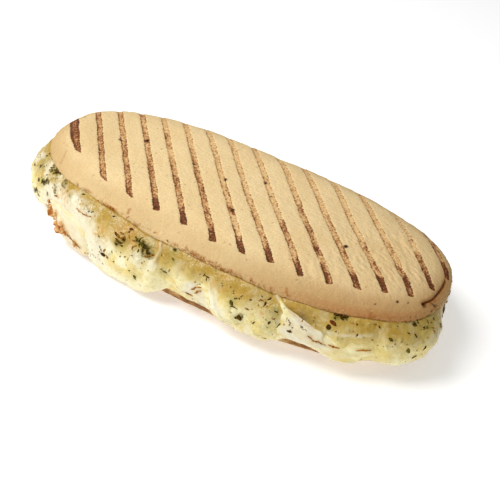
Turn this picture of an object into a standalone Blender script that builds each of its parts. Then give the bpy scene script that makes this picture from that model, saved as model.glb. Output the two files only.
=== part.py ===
"""A grilled panini: two bread halves round chicken slices under melted herb cheese.

The long side lies along X and the open side that shows the filling faces -Y. The origin is on
the table under the middle of the bread. Lengths below are millimetres and angles are degrees.
"""
import math
import random

import bmesh
import bpy
import numpy as np
from mathutils import Matrix, Vector, noise
from mathutils.bvhtree import BVHTree

MM = 0.001
GAP = 0.35
SHARP_ANGLE = 45.0

# Bread: a long oval, cut in two halves that were pressed on a ridged grill.
LEFT_LENGTH = 122.5
RIGHT_LENGTH = 120.0
HALF_WIDTH = 52.0
BACK_RIGHT_BULGE = 2.5
BOTTOM_PINCH = 2.5
OVAL_POWER = 2.5
RIM_HEIGHT = 34.0
RIM_WAVE = 0.45
TOP_SIDE = 10.1
TOP_ROUNDING = 22.7
TOP_DOME = 1.7
BOTTOM_THICKNESS = 11.0
BOTTOM_ROUNDING = 9.0
BOTTOM_SHIFT = (-3.0, -4.2)
BOTTOM_TURN = 1.2
TOP_POINTS = 15
BOTTOM_POINTS = 9

# Grill marks: straight grooves at one slant, which stop short of the rim.
MARK_SLANT = 41.7
MARK_COUNT = 15
MARK_FIRST = -86.7
MARK_PITCH = 12.91
MARK_HALF_WIDTH = 1.8
MARK_SHOULDER = 0.6
MARK_DEPTH = 0.5
MARK_MARGIN = 9.5
MARK_FADE = 3.0

# Filling: everything is placed by s, the distance along the rim of the top bread from the
# middle of the front, growing to the right, and by how far it stands out past that rim.
FILLING_FLOOR = BOTTOM_THICKNESS + GAP
CHICKEN_TOP = 24.0
CHEESE_UNDER = CHICKEN_TOP + GAP
INNER_REACH = -12.0
SHORT_HEM = 24.6
FULL_HEM = FILLING_FLOOR + 0.4
PLAIN_REACH = 5.0
DRAPE_THICKNESS = 6.5

# Chicken slices, which run through from front to back. Each end has s, half width, how far it
# reaches out and the height of its lower edge.
SLICES = {
    "chicken_left": dict(front=(-80.5, 24.0, 12.0, 4.0), back=(372.0, 19.0, -3.0, 11.35)),
    "chicken_left_middle": dict(front=(-31.0, 22.0, -3.0, 11.35), back=(327.0, 21.0, 7.0, 9.0)),
    "chicken_middle": dict(front=(13.0, 15.0, 7.0, 9.5), back=(283.0, 20.0, -3.0, 11.35)),
    "chicken_right_middle": dict(front=(42.0, 9.0, -3.0, 11.35), back=(246.0, 14.0, 7.0, 9.0)),
    "chicken_right": dict(front=(79.0, 24.5, 8.5, 10.0), back=(210.0, 18.0, -3.0, 11.35)),
}
SLICE_CORNER = 7.0
SLICE_UNEVEN = 0.35
# The left side of this slice's front end stands up as a thin ridge.
RIDGED_SLICE = "chicken_right"
RIDGE_CORNER = 3.0
RIDGE_RISE = 8.5
RIDGE_RUN = 27.0
RIDGE_THICKNESS = 2.5

# Lobes of cheese that run down over the edge: s, half width, height of the hem, reach.
LOBES = (
    (-118.0, 14.0, 7.0, 10.5),
    (-36.0, 25.0, 3.5, 12.0),
    (-5.0, 11.0, 11.6, 7.5),
    (39.0, 17.0, 5.0, 9.5),
    (117.0, 14.0, 12.0, 8.0),
    (207.0, 19.0, 8.0, 8.5),
    (283.0, 22.0, 6.0, 9.5),
    (369.0, 22.0, 6.0, 9.5),
)
REACH_SPREAD = 4.0
# Stretches where the cheese hardly comes out from under the bread: s, half width, reach.
HOLLOWS = (
    (14.0, 13.0, 2.5),
    (77.0, 22.0, 3.0),
    (154.0, 23.0, 0.5),
    (245.0, 16.0, 3.0),
    (326.0, 16.0, 2.5),
    (421.0, 22.0, 1.5),
)
# Swellings on the face of the cheese: s, height, half width, half height, rise.
SWELLINGS = (
    (-127.0, 22.0, 7.0, 6.0, 1.8),
    (-112.0, 17.0, 6.0, 7.0, 1.6),
    (-50.0, 25.0, 6.0, 5.0, 1.4),
    (-38.0, 27.0, 5.0, 4.0, 1.6),
    (-24.0, 21.0, 6.0, 5.0, 2.4),
    (-37.0, 13.0, 8.0, 5.0, 1.5),
    (-14.0, 17.0, 4.0, 9.0, 1.4),
    (32.0, 20.0, 6.0, 5.0, 1.6),
    (38.0, 10.0, 6.0, 4.0, 1.8),
    (50.0, 12.0, 5.0, 6.0, 1.5),
    (112.0, 18.0, 6.0, 7.0, 1.5),
    (126.0, 14.0, 7.0, 6.0, 1.8),
)
FACE_UNEVEN = 0.6
CHEESE_STATIONS = 120
CHEESE_POINTS = 15
FACE_POINTS = 41

# Dried herb flakes on the cheese, in clusters: s, share of the way down, number, spread in s,
# spread of the share.
HERB_CLUSTERS = (
    (-118.0, 0.22, 5, 5.0, 0.12),
    (-126.0, 0.55, 3, 6.0, 0.2),
    (-40.0, 0.32, 5, 5.0, 0.14),
    (-25.0, 0.26, 5, 5.0, 0.14),
    (-49.0, 0.55, 3, 5.0, 0.12),
    (-28.0, 0.75, 1, 1.0, 0.03),
    (14.0, 0.45, 2, 7.0, 0.2),
    (30.0, 0.35, 3, 5.0, 0.14),
    (45.0, 0.33, 4, 6.0, 0.14),
    (34.0, 0.72, 2, 4.0, 0.08),
    (48.0, 0.70, 4, 6.0, 0.14),
    (82.0, 0.55, 3, 9.0, 0.2),
    (110.0, 0.45, 3, 5.0, 0.2),
    (124.0, 0.40, 5, 6.0, 0.2),
    (118.0, 0.78, 2, 6.0, 0.08),
    (205.0, 0.5, 4, 14.0, 0.3),
    (284.0, 0.5, 5, 16.0, 0.3),
    (368.0, 0.5, 5, 16.0, 0.3),
)
HERB_SEED = 7
HERB_LENGTH = (2.2, 4.2)
HERB_SPACING = 4.4
HERB_SUNK = 0.7
HERB_PROUD = 0.35


def smooth(value, low, high):
    """0 below low, 1 above high, and an S curve between."""
    t = np.clip((np.asarray(value, float) - low) / (high - low), 0, 1)
    return t * t * (3 - 2 * t)


class Oval:
    """A superellipse outline that is walked by the distance along it.

    Its right half can be wider at the back by bulge and narrower at the front by pinch.
    """

    SAMPLES = 2880

    def __init__(self, bulge, pinch):
        self.bulge = bulge
        self.pinch = pinch
        turn = np.linspace(-math.pi / 2, 1.5 * math.pi, self.SAMPLES + 1)
        power = 2 / OVAL_POWER
        x = np.sign(np.cos(turn)) * np.abs(np.cos(turn)) ** power
        y = np.sign(np.sin(turn)) * np.abs(np.sin(turn)) ** power
        self.x = x * self.half_x(x)
        self.y = y * self.half_y(self.x, y)
        step = np.hypot(np.diff(self.x), np.diff(self.y))
        self.s = np.concatenate([[0.0], np.cumsum(step)])
        self.perimeter = self.s[-1]

    def half_x(self, x):
        return np.where(np.asarray(x) < 0, LEFT_LENGTH, RIGHT_LENGTH)

    def half_y(self, x, y):
        change = np.where(np.asarray(y) > 0, self.bulge, -self.pinch)
        return HALF_WIDTH + change * smooth(x, 0.0, 0.8 * RIGHT_LENGTH)

    def level(self, x, y):
        """0 at the middle and 1 on the outline."""
        part_x = np.abs(x / self.half_x(x)) ** OVAL_POWER
        part_y = np.abs(y / self.half_y(x, y)) ** OVAL_POWER
        return (part_x + part_y) ** (1 / OVAL_POWER)

    def slope(self, x, y):
        """The gradient of level."""
        scale = np.maximum(self.level(x, y), 1e-6) ** (1 - OVAL_POWER)
        power = OVAL_POWER - 1
        half_x = self.half_x(x)
        half_y = self.half_y(x, y)
        gx = scale * np.sign(x) * np.abs(x / half_x) ** power / half_x
        gy = scale * np.sign(y) * np.abs(y / half_y) ** power / half_y
        return gx, gy

    def inset(self, x, y):
        """How far inside the outline a point lies."""
        gx, gy = self.slope(x, y)
        return (1 - self.level(x, y)) / np.maximum(np.hypot(gx, gy), 1e-6)

    def point(self, s, reach=0.0):
        """The point at s along the outline, moved out by reach."""
        s = np.mod(s, self.perimeter)
        x = np.interp(s, self.s, self.x)
        y = np.interp(s, self.s, self.y)
        gx, gy = self.slope(x, y)
        size = np.hypot(gx, gy)
        return x + reach * gx / size, y + reach * gy / size

    def chord(self, offset, slant):
        """The two places where the line at this offset crosses the outline: s, along."""
        across = self.x * math.cos(slant) + self.y * math.sin(slant) - offset
        along = self.y * math.cos(slant) - self.x * math.sin(slant)
        i = np.nonzero(across[:-1] * across[1:] <= 0)[0]
        part = across[i] / (across[i] - across[i + 1])
        found = np.stack([self.s[i] + part * (self.s[i + 1] - self.s[i]),
                          along[i] + part * (along[i + 1] - along[i])], -1)
        found = found[np.argsort(found[:, 1])]
        return found[0], found[-1]

    def tip(self, slant, side):
        """Where along the outline the outermost point across the slant lies."""
        across = side * (self.x * math.cos(slant) + self.y * math.sin(slant))
        return self.s[int(np.argmax(across))]


OVAL = Oval(BACK_RIGHT_BULGE, 0.0)
BOTTOM_OVAL = Oval(BACK_RIGHT_BULGE, BOTTOM_PINCH)
SLANT = math.radians(MARK_SLANT)


def plateau(s, centre, half_width):
    """1 near the centre and 0 far from it, measured round the closed rim."""
    away = np.mod(s - centre + OVAL.perimeter / 2, OVAL.perimeter) - OVAL.perimeter / 2
    return np.exp(-np.abs(away / half_width) ** 6)


def rim_height(s):
    """Height of the top bread's lower rim, which is slightly wavy."""
    turn = 2 * math.pi * s / OVAL.perimeter
    return RIM_HEIGHT + RIM_WAVE * (np.sin(7 * turn + 0.6) + 0.6 * np.sin(17 * turn + 2.1))


def mark_rows(oval):
    """Offsets of the mesh rows: the groove edges, the bread between, and the two tips."""
    rows = []
    for i in range(MARK_COUNT):
        middle = MARK_FIRST + i * MARK_PITCH
        edge = MARK_HALF_WIDTH + MARK_SHOULDER / 2
        floor = MARK_HALF_WIDTH - MARK_SHOULDER / 2
        rows += [middle - edge, middle - floor, middle + floor, middle + edge]
        rows.append(middle + MARK_PITCH / 2)
    reach = float(np.max(oval.x * math.cos(SLANT) + oval.y * math.sin(SLANT)))
    ends = [reach * part for part in (0.93, 0.965, 0.988, 0.997)]
    low = [-end for end in reversed(ends) if -end < rows[0] - 1.5]
    high = [end for end in ends if end > rows[-1] + 1.5]
    rows = [row for row in rows if abs(row) < reach * 0.997]
    return low + rows + high


def groove(offset, inset):
    """Depth of the grill marks at a point."""
    place = (offset - MARK_FIRST) / MARK_PITCH
    nearest = np.clip(np.round(place), 0, MARK_COUNT - 1)
    away = np.abs(offset - MARK_FIRST - nearest * MARK_PITCH)
    across = 1 - smooth(away, MARK_HALF_WIDTH - MARK_SHOULDER / 2,
                        MARK_HALF_WIDTH + MARK_SHOULDER / 2)
    return MARK_DEPTH * across * smooth(inset, MARK_MARGIN - MARK_FADE, MARK_MARGIN)


def crust_profile(inset, rounding, side):
    """Height gained from the rim inwards: a rounded side that ends flat."""
    t = 1 - np.clip(inset / rounding, 0, 1)
    return side * np.sqrt(np.clip(1 - t * t, 0, 1))


def top_surface(x, y, s_rim):
    """Height of the top bread's upper face."""
    inset = OVAL.inset(x, y)
    dome = TOP_DOME * (1 - np.clip(OVAL.level(x, y), 0, 1) ** 2)
    offset = x * math.cos(SLANT) + y * math.sin(SLANT)
    start = RIM_HEIGHT + (rim_height(s_rim) - RIM_HEIGHT) * (1 - smooth(inset, 0, 8))
    return start + crust_profile(inset, TOP_ROUNDING, TOP_SIDE) + dome - groove(offset, inset)


def bottom_surface(x, y, s_rim):
    """Height of the bottom bread's lower face, flat where it lies on the table."""
    inset = BOTTOM_OVAL.inset(x, y)
    offset = x * math.cos(SLANT) + y * math.sin(SLANT)
    side = crust_profile(inset, BOTTOM_ROUNDING, BOTTOM_THICKNESS)
    return BOTTOM_THICKNESS - side + groove(offset, inset)


def bread_mesh(oval, surface, cut_height, cut_inner, points_in_row):
    """A bread half: rows of points along the grill marks, closed by the flat cut face."""
    bm = bmesh.new()
    spread = -np.cos(np.linspace(0, math.pi, points_in_row))
    cut_spread = np.array([-0.9, 0.9])
    crust_rows = []
    cut_rows = []
    for offset in mark_rows(oval):
        (s_low, low), (s_high, high) = oval.chord(offset, SLANT)
        along = (low + high) / 2 + spread * (high - low) / 2
        x = offset * math.cos(SLANT) - along * math.sin(SLANT)
        y = offset * math.sin(SLANT) + along * math.cos(SLANT)
        s_rim = np.where(spread < 0, s_low, s_high)
        z = surface(x, y, s_rim)
        z[0] = cut_height(s_low)
        z[-1] = cut_height(s_high)
        row = [bm.verts.new(p) for p in zip(x, y, z)]
        crust_rows.append(row)
        inner = (low + high) / 2 + cut_spread * (high - low) / 2
        inner_row = [bm.verts.new((offset * math.cos(SLANT) - a * math.sin(SLANT),
                                   offset * math.sin(SLANT) + a * math.cos(SLANT),
                                   cut_inner)) for a in inner]
        cut_rows.append([row[0]] + inner_row + [row[-1]])
    for rows in (crust_rows, cut_rows):
        for first, second in zip(rows, rows[1:]):
            for i in range(len(first) - 1):
                bm.faces.new((first[i], first[i + 1], second[i + 1], second[i]))
    for side, index in ((-1, 0), (1, -1)):
        s_tip = oval.tip(SLANT, side)
        x, y = oval.point(s_tip)
        tip = bm.verts.new((float(x), float(y), float(cut_height(s_tip))))
        for rows in (crust_rows, cut_rows):
            row = rows[index]
            for a, b in zip(row, row[1:]):
                bm.faces.new((tip, a, b))
    bmesh.ops.recalc_face_normals(bm, faces=bm.faces)
    return bm


def bread_top():
    return bread_mesh(OVAL, top_surface, rim_height, RIM_HEIGHT, TOP_POINTS)


def bread_bottom():
    bm = bread_mesh(BOTTOM_OVAL, bottom_surface, lambda s: BOTTOM_THICKNESS, BOTTOM_THICKNESS,
                    BOTTOM_POINTS)
    turn = Matrix.Rotation(math.radians(BOTTOM_TURN), 4, "Z")
    bm.transform(Matrix.Translation((*BOTTOM_SHIFT, 0)) @ turn)
    return bm


def bottom_reach(s, z):
    """How far the side of the bottom bread stands out past the top rim, at height z."""
    turn = math.radians(-BOTTOM_TURN)
    reach = np.zeros_like(np.asarray(s, float))
    for _ in range(6):
        x, y = OVAL.point(s, reach)
        x = x - BOTTOM_SHIFT[0]
        y = y - BOTTOM_SHIFT[1]
        own_x = x * math.cos(turn) - y * math.sin(turn)
        own_y = x * math.sin(turn) + y * math.cos(turn)
        reach = reach + BOTTOM_OVAL.inset(own_x, own_y)
    rise = np.clip((BOTTOM_THICKNESS - np.asarray(z, float)) / BOTTOM_THICKNESS, 0, 1)
    return reach - BOTTOM_ROUNDING * (1 - np.sqrt(1 - rise ** 2))


def spline(points, count):
    """Points spread evenly along a Catmull-Rom curve through the given ones."""
    points = np.asarray(points, float)
    ends = [2 * points[0] - points[1], 2 * points[-1] - points[-2]]
    p = np.vstack([ends[0], points, ends[1]])
    dense = []
    for i in range(1, len(p) - 2):
        t = np.linspace(0, 1, 12, endpoint=False)[:, None]
        a, b, c, d = p[i - 1], p[i], p[i + 1], p[i + 2]
        dense.append(0.5 * (2 * b + (c - a) * t + (2 * a - 5 * b + 4 * c - d) * t ** 2
                            + (3 * b - a - 3 * c + d) * t ** 3))
    dense = np.vstack(dense + [points[-1:]])
    walked = np.concatenate([[0], np.cumsum(np.linalg.norm(np.diff(dense, axis=0), axis=1))])
    at = np.linspace(0, walked[-1], count)
    return np.stack([np.interp(at, walked, dense[:, k]) for k in range(2)], -1)


def cheese_form(s):
    """Height of the hem, and how far the cheese reaches out, at s."""
    bare = max(plateau(s, end[0], end[1]) for ends in SLICES.values() for end in ends.values()
               if end[2] > 0)
    hem = FULL_HEM + bare * (SHORT_HEM - FULL_HEM)
    reach = PLAIN_REACH
    for centre, half_width, hollow in HOLLOWS:
        reach += plateau(s, centre, half_width) * (hollow - PLAIN_REACH)
    for centre, half_width, low, far in LOBES:
        hem += plateau(s, centre, half_width) * min(0.0, low - hem)
        reach += plateau(s, centre, half_width + REACH_SPREAD) * max(0.0, far - reach)
    return float(hem), float(reach)


def cheese_section(s, count):
    """The closed section of the cheese at s: from under the bread, out, down and back in."""
    hem, reach = cheese_form(s)
    top = float(rim_height(s)) - GAP
    long_drape = 1 - float(smooth(hem, 9.0, FULL_HEM))
    clear = float(bottom_reach(s, BOTTOM_THICKNESS)) + 2 * GAP
    inner = reach - DRAPE_THICKNESS
    inner += long_drape * (max(inner, clear) - inner)
    drop = top - hem
    outer = [
        (INNER_REACH, RIM_HEIGHT - 2 * RIM_WAVE - GAP),
        (-3.0, top - RIM_WAVE),
        (0.2 * reach, top - 1.4),
        (0.78 * reach, top - 0.30 * drop),
        (reach, top - 0.62 * drop),
        (reach - 0.3, hem + 0.12 * drop),
        (reach - 1.6, hem),
    ]
    under = CHEESE_UNDER + 0.2
    inner_path = [
        (inner + 0.3, hem + 0.07 * drop),
        (inner - 0.4, hem + 0.5 * (under - hem)),
        (inner - 1.6, under),
        (INNER_REACH, CHEESE_UNDER),
    ]
    return spline(outer + inner_path, count)


def swell(s, z):
    """How far the face of the cheese swells at s and height z."""
    rise = 0.0
    for centre, height, half_width, half_height, most in SWELLINGS:
        away = math.remainder(s - centre, OVAL.perimeter)
        rise += most * math.exp(-(away / half_width) ** 2 - ((z - height) / half_height) ** 2)
    return rise


def cheese_face(s, count):
    """The section at s with its swellings, and the index of its lowest point."""
    section = cheese_section(s, count)
    lowest = int(np.argmin(section[:, 1]))
    for i in range(lowest + 1):
        reach, z = section[i]
        fade = min(1.0, max(0.0, (reach - 0.5) / 3))
        uneven = FACE_UNEVEN * noise.noise(Vector((s / 9, z / 7, 3.1)))
        section[i, 0] += fade * (swell(s, z) + uneven)
    return section, lowest


def cheese_core(stations, count):
    """The melted cheese: sections round the whole rim, closed by flat faces inside."""
    bm = bmesh.new()
    rings = []
    for k in range(stations):
        s = OVAL.perimeter * k / stations
        section, _ = cheese_face(s, count)
        ring = []
        for reach, z in section:
            x, y = OVAL.point(s, reach)
            ring.append(bm.verts.new((float(x), float(y), float(z))))
        rings.append(ring)
    for first, second in zip(rings, rings[1:] + rings[:1]):
        for i in range(count - 1):
            bm.faces.new((first[i], first[i + 1], second[i + 1], second[i]))
    bm.faces.new([ring[0] for ring in rings])
    bm.faces.new([ring[-1] for ring in rings])
    bmesh.ops.recalc_face_normals(bm, faces=bm.faces)
    return bm


def face_point(s, share):
    """A point on the outside of the cheese, share of the way from the bread to the hem."""
    section, lowest = cheese_face(s, FACE_POINTS)
    first = int(np.argmax(section[:, 0] > 0.5))
    at = first + share * (lowest - first)
    reach = np.interp(at, np.arange(len(section)), section[:, 0])
    z = np.interp(at, np.arange(len(section)), section[:, 1])
    x, y = OVAL.point(s, reach)
    return Vector((float(x), float(y), float(z)))


def herb_flake(place, along, outward, length, width):
    """A chip of dried herb: a pointed six-sided plate, sunk a little into the cheese."""
    bm = bmesh.new()
    across = outward.cross(along).normalized()
    outline = ((-0.5, 0.0), (-0.2, 0.5), (0.25, 0.42), (0.5, 0.05), (0.2, -0.5), (-0.3, -0.4))
    loops = []
    for height in (-HERB_SUNK, HERB_PROUD):
        loops.append([bm.verts.new(place + along * (a * length) + across * (b * width)
                                   + outward * height) for a, b in outline])
    low, high = loops
    bm.faces.new(low)
    bm.faces.new(high)
    for i in range(len(outline)):
        k = (i + 1) % len(outline)
        bm.faces.new((low[i], low[k], high[k], high[i]))
    bmesh.ops.recalc_face_normals(bm, faces=bm.faces)
    return bm


def herb_flakes(core):
    """The flakes of every cluster, kept apart from each other."""
    tree = BVHTree.FromBMesh(core)
    draw = random.Random(HERB_SEED)
    placed = []
    flakes = []
    for s_mid, share_mid, count, s_spread, share_spread in HERB_CLUSTERS:
        for _ in range(count * 6):
            s = s_mid + draw.uniform(-1, 1) * s_spread
            share = min(0.9, max(0.12, share_mid + draw.uniform(-1, 1) * share_spread))
            length = draw.uniform(*HERB_LENGTH)
            width = length * draw.uniform(0.3, 0.5)
            turn = draw.uniform(0, math.pi)
            place, outward, _, _ = tree.find_nearest(face_point(s, share))
            if any((place - other).length < HERB_SPACING for other in placed):
                continue
            side = face_point(s + 1.0, share) - face_point(s - 1.0, share)
            down = face_point(s, share + 0.03) - face_point(s, share - 0.03)
            along = (side.normalized() * math.cos(turn) + down.normalized() * math.sin(turn))
            along = (along - outward * along.dot(outward)).normalized()
            placed.append(place)
            flakes.append(herb_flake(place, along, outward, length, width))
            count -= 1
            if count == 0:
                break
    return flakes


def slice_end(s, reach, low, ridge, count):
    """The outline of a slice's end seen from its side: over the top, out, down and back."""
    if reach < 0:
        middle = (FILLING_FLOOR + CHICKEN_TOP) / 2
        round_off = 2.5
        points = [(INNER_REACH, CHICKEN_TOP), (reach - round_off, CHICKEN_TOP - 0.4), (reach, middle),
                  (reach - round_off, FILLING_FLOOR + 0.4), (INNER_REACH, FILLING_FLOOR)]
        return spline(points, count)
    clear = float(bottom_reach(s, BOTTOM_THICKNESS)) + GAP
    low += (FILLING_FLOOR - low) * (1 - float(smooth(reach - clear, 2.0, 4.5)))
    points = [(INNER_REACH, CHICKEN_TOP), (0.45 * reach, CHICKEN_TOP - 0.3)]
    if ridge > 0.5:
        points.append((reach - RIDGE_THICKNESS, CHICKEN_TOP + 0.8 * ridge))
        points.append((reach - 0.4 * RIDGE_THICKNESS, CHICKEN_TOP + ridge))
    else:
        points.append((0.85 * reach, CHICKEN_TOP - 2.5))
    drop = CHICKEN_TOP - low
    points += [(reach, low + 0.5 * drop), (reach - 0.3, low + 0.15 * drop), (reach - 1.4, low)]
    hangs = low < FILLING_FLOOR - 0.5
    if hangs:
        clear += 0.9
        points += [(clear + 0.5, low + 0.5), (clear + 0.2, FILLING_FLOOR - 1.2)]
        points.append((clear - 0.6, FILLING_FLOOR + 0.7))
    points += [(min(clear, reach - 2.5) - 3.0, FILLING_FLOOR + 0.1), (INNER_REACH, FILLING_FLOOR)]
    return spline(points, count)


def slice_mesh(front, back, ridge=False, stations=11, count=11):
    """A chicken slice: upright loops from its front end to its back, one beside the other."""
    bm = bmesh.new()
    middle = (FILLING_FLOOR + CHICKEN_TOP) / 2
    rings = []
    for share in -np.cos(np.linspace(0, math.pi, stations)):
        ring = []
        edge = 1 - 0.35 * abs(share) ** 8
        for end, (s_mid, half_width, reach, low) in ((1, back), (-1, front)):
            s = s_mid - end * share * half_width
            stands = ridge and end < 0 and share < 0
            corner = (RIDGE_CORNER if stands else SLICE_CORNER) * abs(share) ** 5
            along = (share + 1) * half_width / RIDGE_RUN
            rise = RIDGE_RISE * max(0.0, 1 - along) if ridge and end < 0 else 0.0
            outline = slice_end(s, reach if reach < 0 else reach - corner, low, rise, count)
            for r, z in outline[::-end]:
                if rise < 0.5:
                    z = middle + (z - middle) * edge
                x, y = OVAL.point(s, r)
                uneven = SLICE_UNEVEN * noise.noise(Vector((float(x), float(y), z)) / 9)
                x, y = OVAL.point(s, r - abs(uneven))
                ring.append(bm.verts.new((float(x), float(y), float(z))))
        rings.append(ring)
    for first, second in zip(rings, rings[1:]):
        for j in range(len(first)):
            k = (j + 1) % len(first)
            bm.faces.new((first[j], first[k], second[k], second[j]))
    for ring in (rings[0], rings[-1]):
        back_half = ring[:count]
        front_half = ring[count:]
        span = (back_half[0], back_half[-1], front_half[0], front_half[-1])
        sides = [bm.faces.new(loop) for loop in (back_half, front_half, span)]
        bmesh.ops.triangulate(bm, faces=sides)
    bmesh.ops.recalc_face_normals(bm, faces=bm.faces)
    return bm


MATERIALS = {
    "bread": ((0.78, 0.56, 0.31), 0.75),
    "cheese": ((0.80, 0.70, 0.33), 0.35),
    "chicken": ((0.88, 0.82, 0.62), 0.5),
}


def material(name):
    colour, roughness = MATERIALS[name]
    made = bpy.data.materials.get(name) or bpy.data.materials.new(name)
    made.use_nodes = True
    shader = made.node_tree.nodes["Principled BSDF"]
    shader.inputs["Base Color"].default_value = (*colour, 1)
    shader.inputs["Roughness"].default_value = roughness
    return made


def add_object(name, bm, finish):
    """One node: the mesh in metres, with its material and smooth shading."""
    bm.transform(Matrix.Scale(MM, 4))
    mesh = bpy.data.meshes.new(name)
    bm.to_mesh(mesh)
    bm.free()
    mesh.materials.append(material(finish))
    mesh.shade_smooth()
    mesh.set_sharp_from_angle(angle=math.radians(SHARP_ANGLE))
    made = bpy.data.objects.new(name, mesh)
    bpy.context.scene.collection.objects.link(made)
    return made


def clean(mesh):
    """Cut the faces into triangles, and drop the loose scraps that a cut leaves."""
    bm = bmesh.new()
    bm.from_mesh(mesh)
    bmesh.ops.triangulate(bm, faces=bm.faces)
    left = set(bm.verts)
    islands = []
    while left:
        island = {left.pop()}
        edge = list(island)
        while edge:
            near = {e.other_vert(v) for v in edge for e in v.link_edges} - island
            island |= near
            edge = list(near)
        left -= island
        islands.append(island)
    islands.sort(key=len)
    loose = [v for island in islands[:-1] for v in island]
    bmesh.ops.delete(bm, geom=loose, context="VERTS")
    bm.to_mesh(mesh)
    bm.free()


def combine(body, group, operation, solver):
    """Apply one Boolean of the body with a collection, which is then removed."""
    change = body.modifiers.new(group.name, "BOOLEAN")
    change.operation = operation
    change.operand_type = "COLLECTION"
    change.collection = group
    change.solver = solver
    bpy.context.view_layer.update()
    view = body.evaluated_get(bpy.context.evaluated_depsgraph_get())
    result = bpy.data.meshes.new_from_object(view)
    body.modifiers.clear()
    body.data = result
    for piece in list(group.objects):
        bpy.data.objects.remove(piece)
    bpy.data.collections.remove(group)
    clean(body.data)
    body.data.shade_smooth()
    body.data.set_sharp_from_angle(angle=math.radians(SHARP_ANGLE))


def fuse(body, loose):
    """Join the loose meshes to the body as one solid."""
    group = bpy.data.collections.new("fused")
    bpy.context.scene.collection.children.link(group)
    for bm in loose:
        bm.transform(Matrix.Scale(MM, 4))
        mesh = bpy.data.meshes.new("flake")
        bm.to_mesh(mesh)
        bm.free()
        group.objects.link(bpy.data.objects.new("flake", mesh))
    combine(body, group, "UNION", "MANIFOLD")


def carve(body, neighbours):
    """Cut the body back from its neighbours, leaving a thin gap."""
    group = bpy.data.collections.new("cutters")
    bpy.context.scene.collection.children.link(group)
    for other in neighbours:
        bm = bmesh.new()
        bm.from_mesh(other.data)
        bm.normal_update()
        for vert in bm.verts:
            vert.co += vert.normal * GAP * MM
        mesh = bpy.data.meshes.new("cutter")
        bm.to_mesh(mesh)
        bm.free()
        group.objects.link(bpy.data.objects.new("cutter", mesh))
    combine(body, group, "DIFFERENCE", "MANIFOLD")


def build():
    for old in list(bpy.data.objects):
        bpy.data.objects.remove(old)
    bottom = add_object("bread_bottom", bread_bottom(), "bread")
    slices = []
    for name, ends in SLICES.items():
        made = add_object(name, slice_mesh(**ends, ridge=name == RIDGED_SLICE), "chicken")
        carve(made, [bottom])
        slices.append(made)
    core = cheese_core(CHEESE_STATIONS, CHEESE_POINTS)
    flakes = herb_flakes(core)
    cheese = add_object("cheese", core, "cheese")
    fuse(cheese, flakes)
    carve(cheese, [bottom] + slices)
    add_object("bread_top", bread_top(), "bread")


build()
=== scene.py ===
"""Looks of the grilled panini: fine crust, melted cheese, chicken and herbs over the solids.

Lengths below are millimetres and angles are degrees. s is the distance along the rim of the top
bread from the middle of the front, growing to the right. Places that are seen in the photograph
are pixels of its 500 x 500 frame, and each is carried to the surface that shows there.
"""
import math
import random

import bmesh
import bpy
import numpy as np
from mathutils import Matrix, Vector, noise
from mathutils.bvhtree import BVHTree


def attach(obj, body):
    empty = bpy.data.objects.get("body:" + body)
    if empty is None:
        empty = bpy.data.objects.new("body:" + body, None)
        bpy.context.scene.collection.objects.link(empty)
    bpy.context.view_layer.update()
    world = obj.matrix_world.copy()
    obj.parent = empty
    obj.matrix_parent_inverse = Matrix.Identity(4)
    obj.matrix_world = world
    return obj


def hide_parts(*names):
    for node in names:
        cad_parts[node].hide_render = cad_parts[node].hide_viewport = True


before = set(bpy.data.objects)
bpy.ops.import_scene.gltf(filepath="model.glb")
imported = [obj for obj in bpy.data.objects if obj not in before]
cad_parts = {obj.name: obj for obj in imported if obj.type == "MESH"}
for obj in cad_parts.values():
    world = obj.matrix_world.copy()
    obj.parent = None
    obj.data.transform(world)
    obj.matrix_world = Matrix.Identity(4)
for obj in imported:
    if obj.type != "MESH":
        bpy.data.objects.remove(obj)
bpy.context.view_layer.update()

MM = 0.001
GAP = 0.35
FAR_AWAY = 1e9

# Camera of the photograph.
PHOTO_SIZE = 500
FOCAL_PIXELS = 836.4
SENSOR = 36.0
CAMERA_AZIMUTH = 26.26
CAMERA_ELEVATION = 38.77
CAMERA_ROLL = 8.38
CAMERA_DISTANCE = 482.0
CAMERA_TARGET = (5.1, 8, 1)

# Bread.
LEFT_LENGTH = 122.5
RIGHT_LENGTH = 120.0
HALF_WIDTH = 52.0
BACK_RIGHT_BULGE = 2.5
BOTTOM_PINCH = 2.5
OVAL_POWER = 2.5
OVAL_SAMPLES = 2880
RIM_HEIGHT = 34.0
RIM_WAVE = 0.45
# The rim is lifted where the left slice pushes it up: s, half width, rise.
RIM_LIFT = (-57, 27, 2)
TOP_SIDE = 10.1
TOP_ROUNDING = 22.7
TOP_DOME = 1.7
BOTTOM_THICKNESS = 11.0
BOTTOM_ROUNDING = 9.0
BOTTOM_SHIFT = (-3.0, -4.2)
BOTTOM_TURN = 1.2
# The cut face starts this share of the way from the middle to the rim.
CUT_SHARE = 0.93

# Grill marks.
MARK_SLANT = math.radians(41.7)
MARK_COUNT = 15
MARK_FIRST = -86.7
MARK_PITCH = 12.91
MARK_HALF_WIDTH = 1.6
MARK_DEPTH = 0.5
# How far inside the outline the marks end, on the top and on the bottom.
MARK_FAR_MARGIN = 2.2
MARK_MARGIN = 9.5
# How slanting the near end of each mark is, how burnt it is, and how brown the whole mark is.
MARK_END_SLANTS = (1.4, 1.8, 1.4, 0.5, 0.5, 0.6, 1, 0.4, 0.3, 0.3, 0.6, 0.2, 0.2, 0.2, 0.2)
MARK_BURNS = (0.3, 0.1, 0.2, 0.7, 1, 1, 1.15, 1, 1, 0.9, 0.9, 1.1, 0.7, 0.6, 0.8)
MARK_TONES = (0.25, 0.25, 0.2, 0.2, 0.15, 0.1, 0, 0.05, 0, 0, 0, 0, 0, 0.25, 0.2)
# The first mark widens to the left by this much towards its far end.
FIRST_MARK_SPREAD = 1.3
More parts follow.
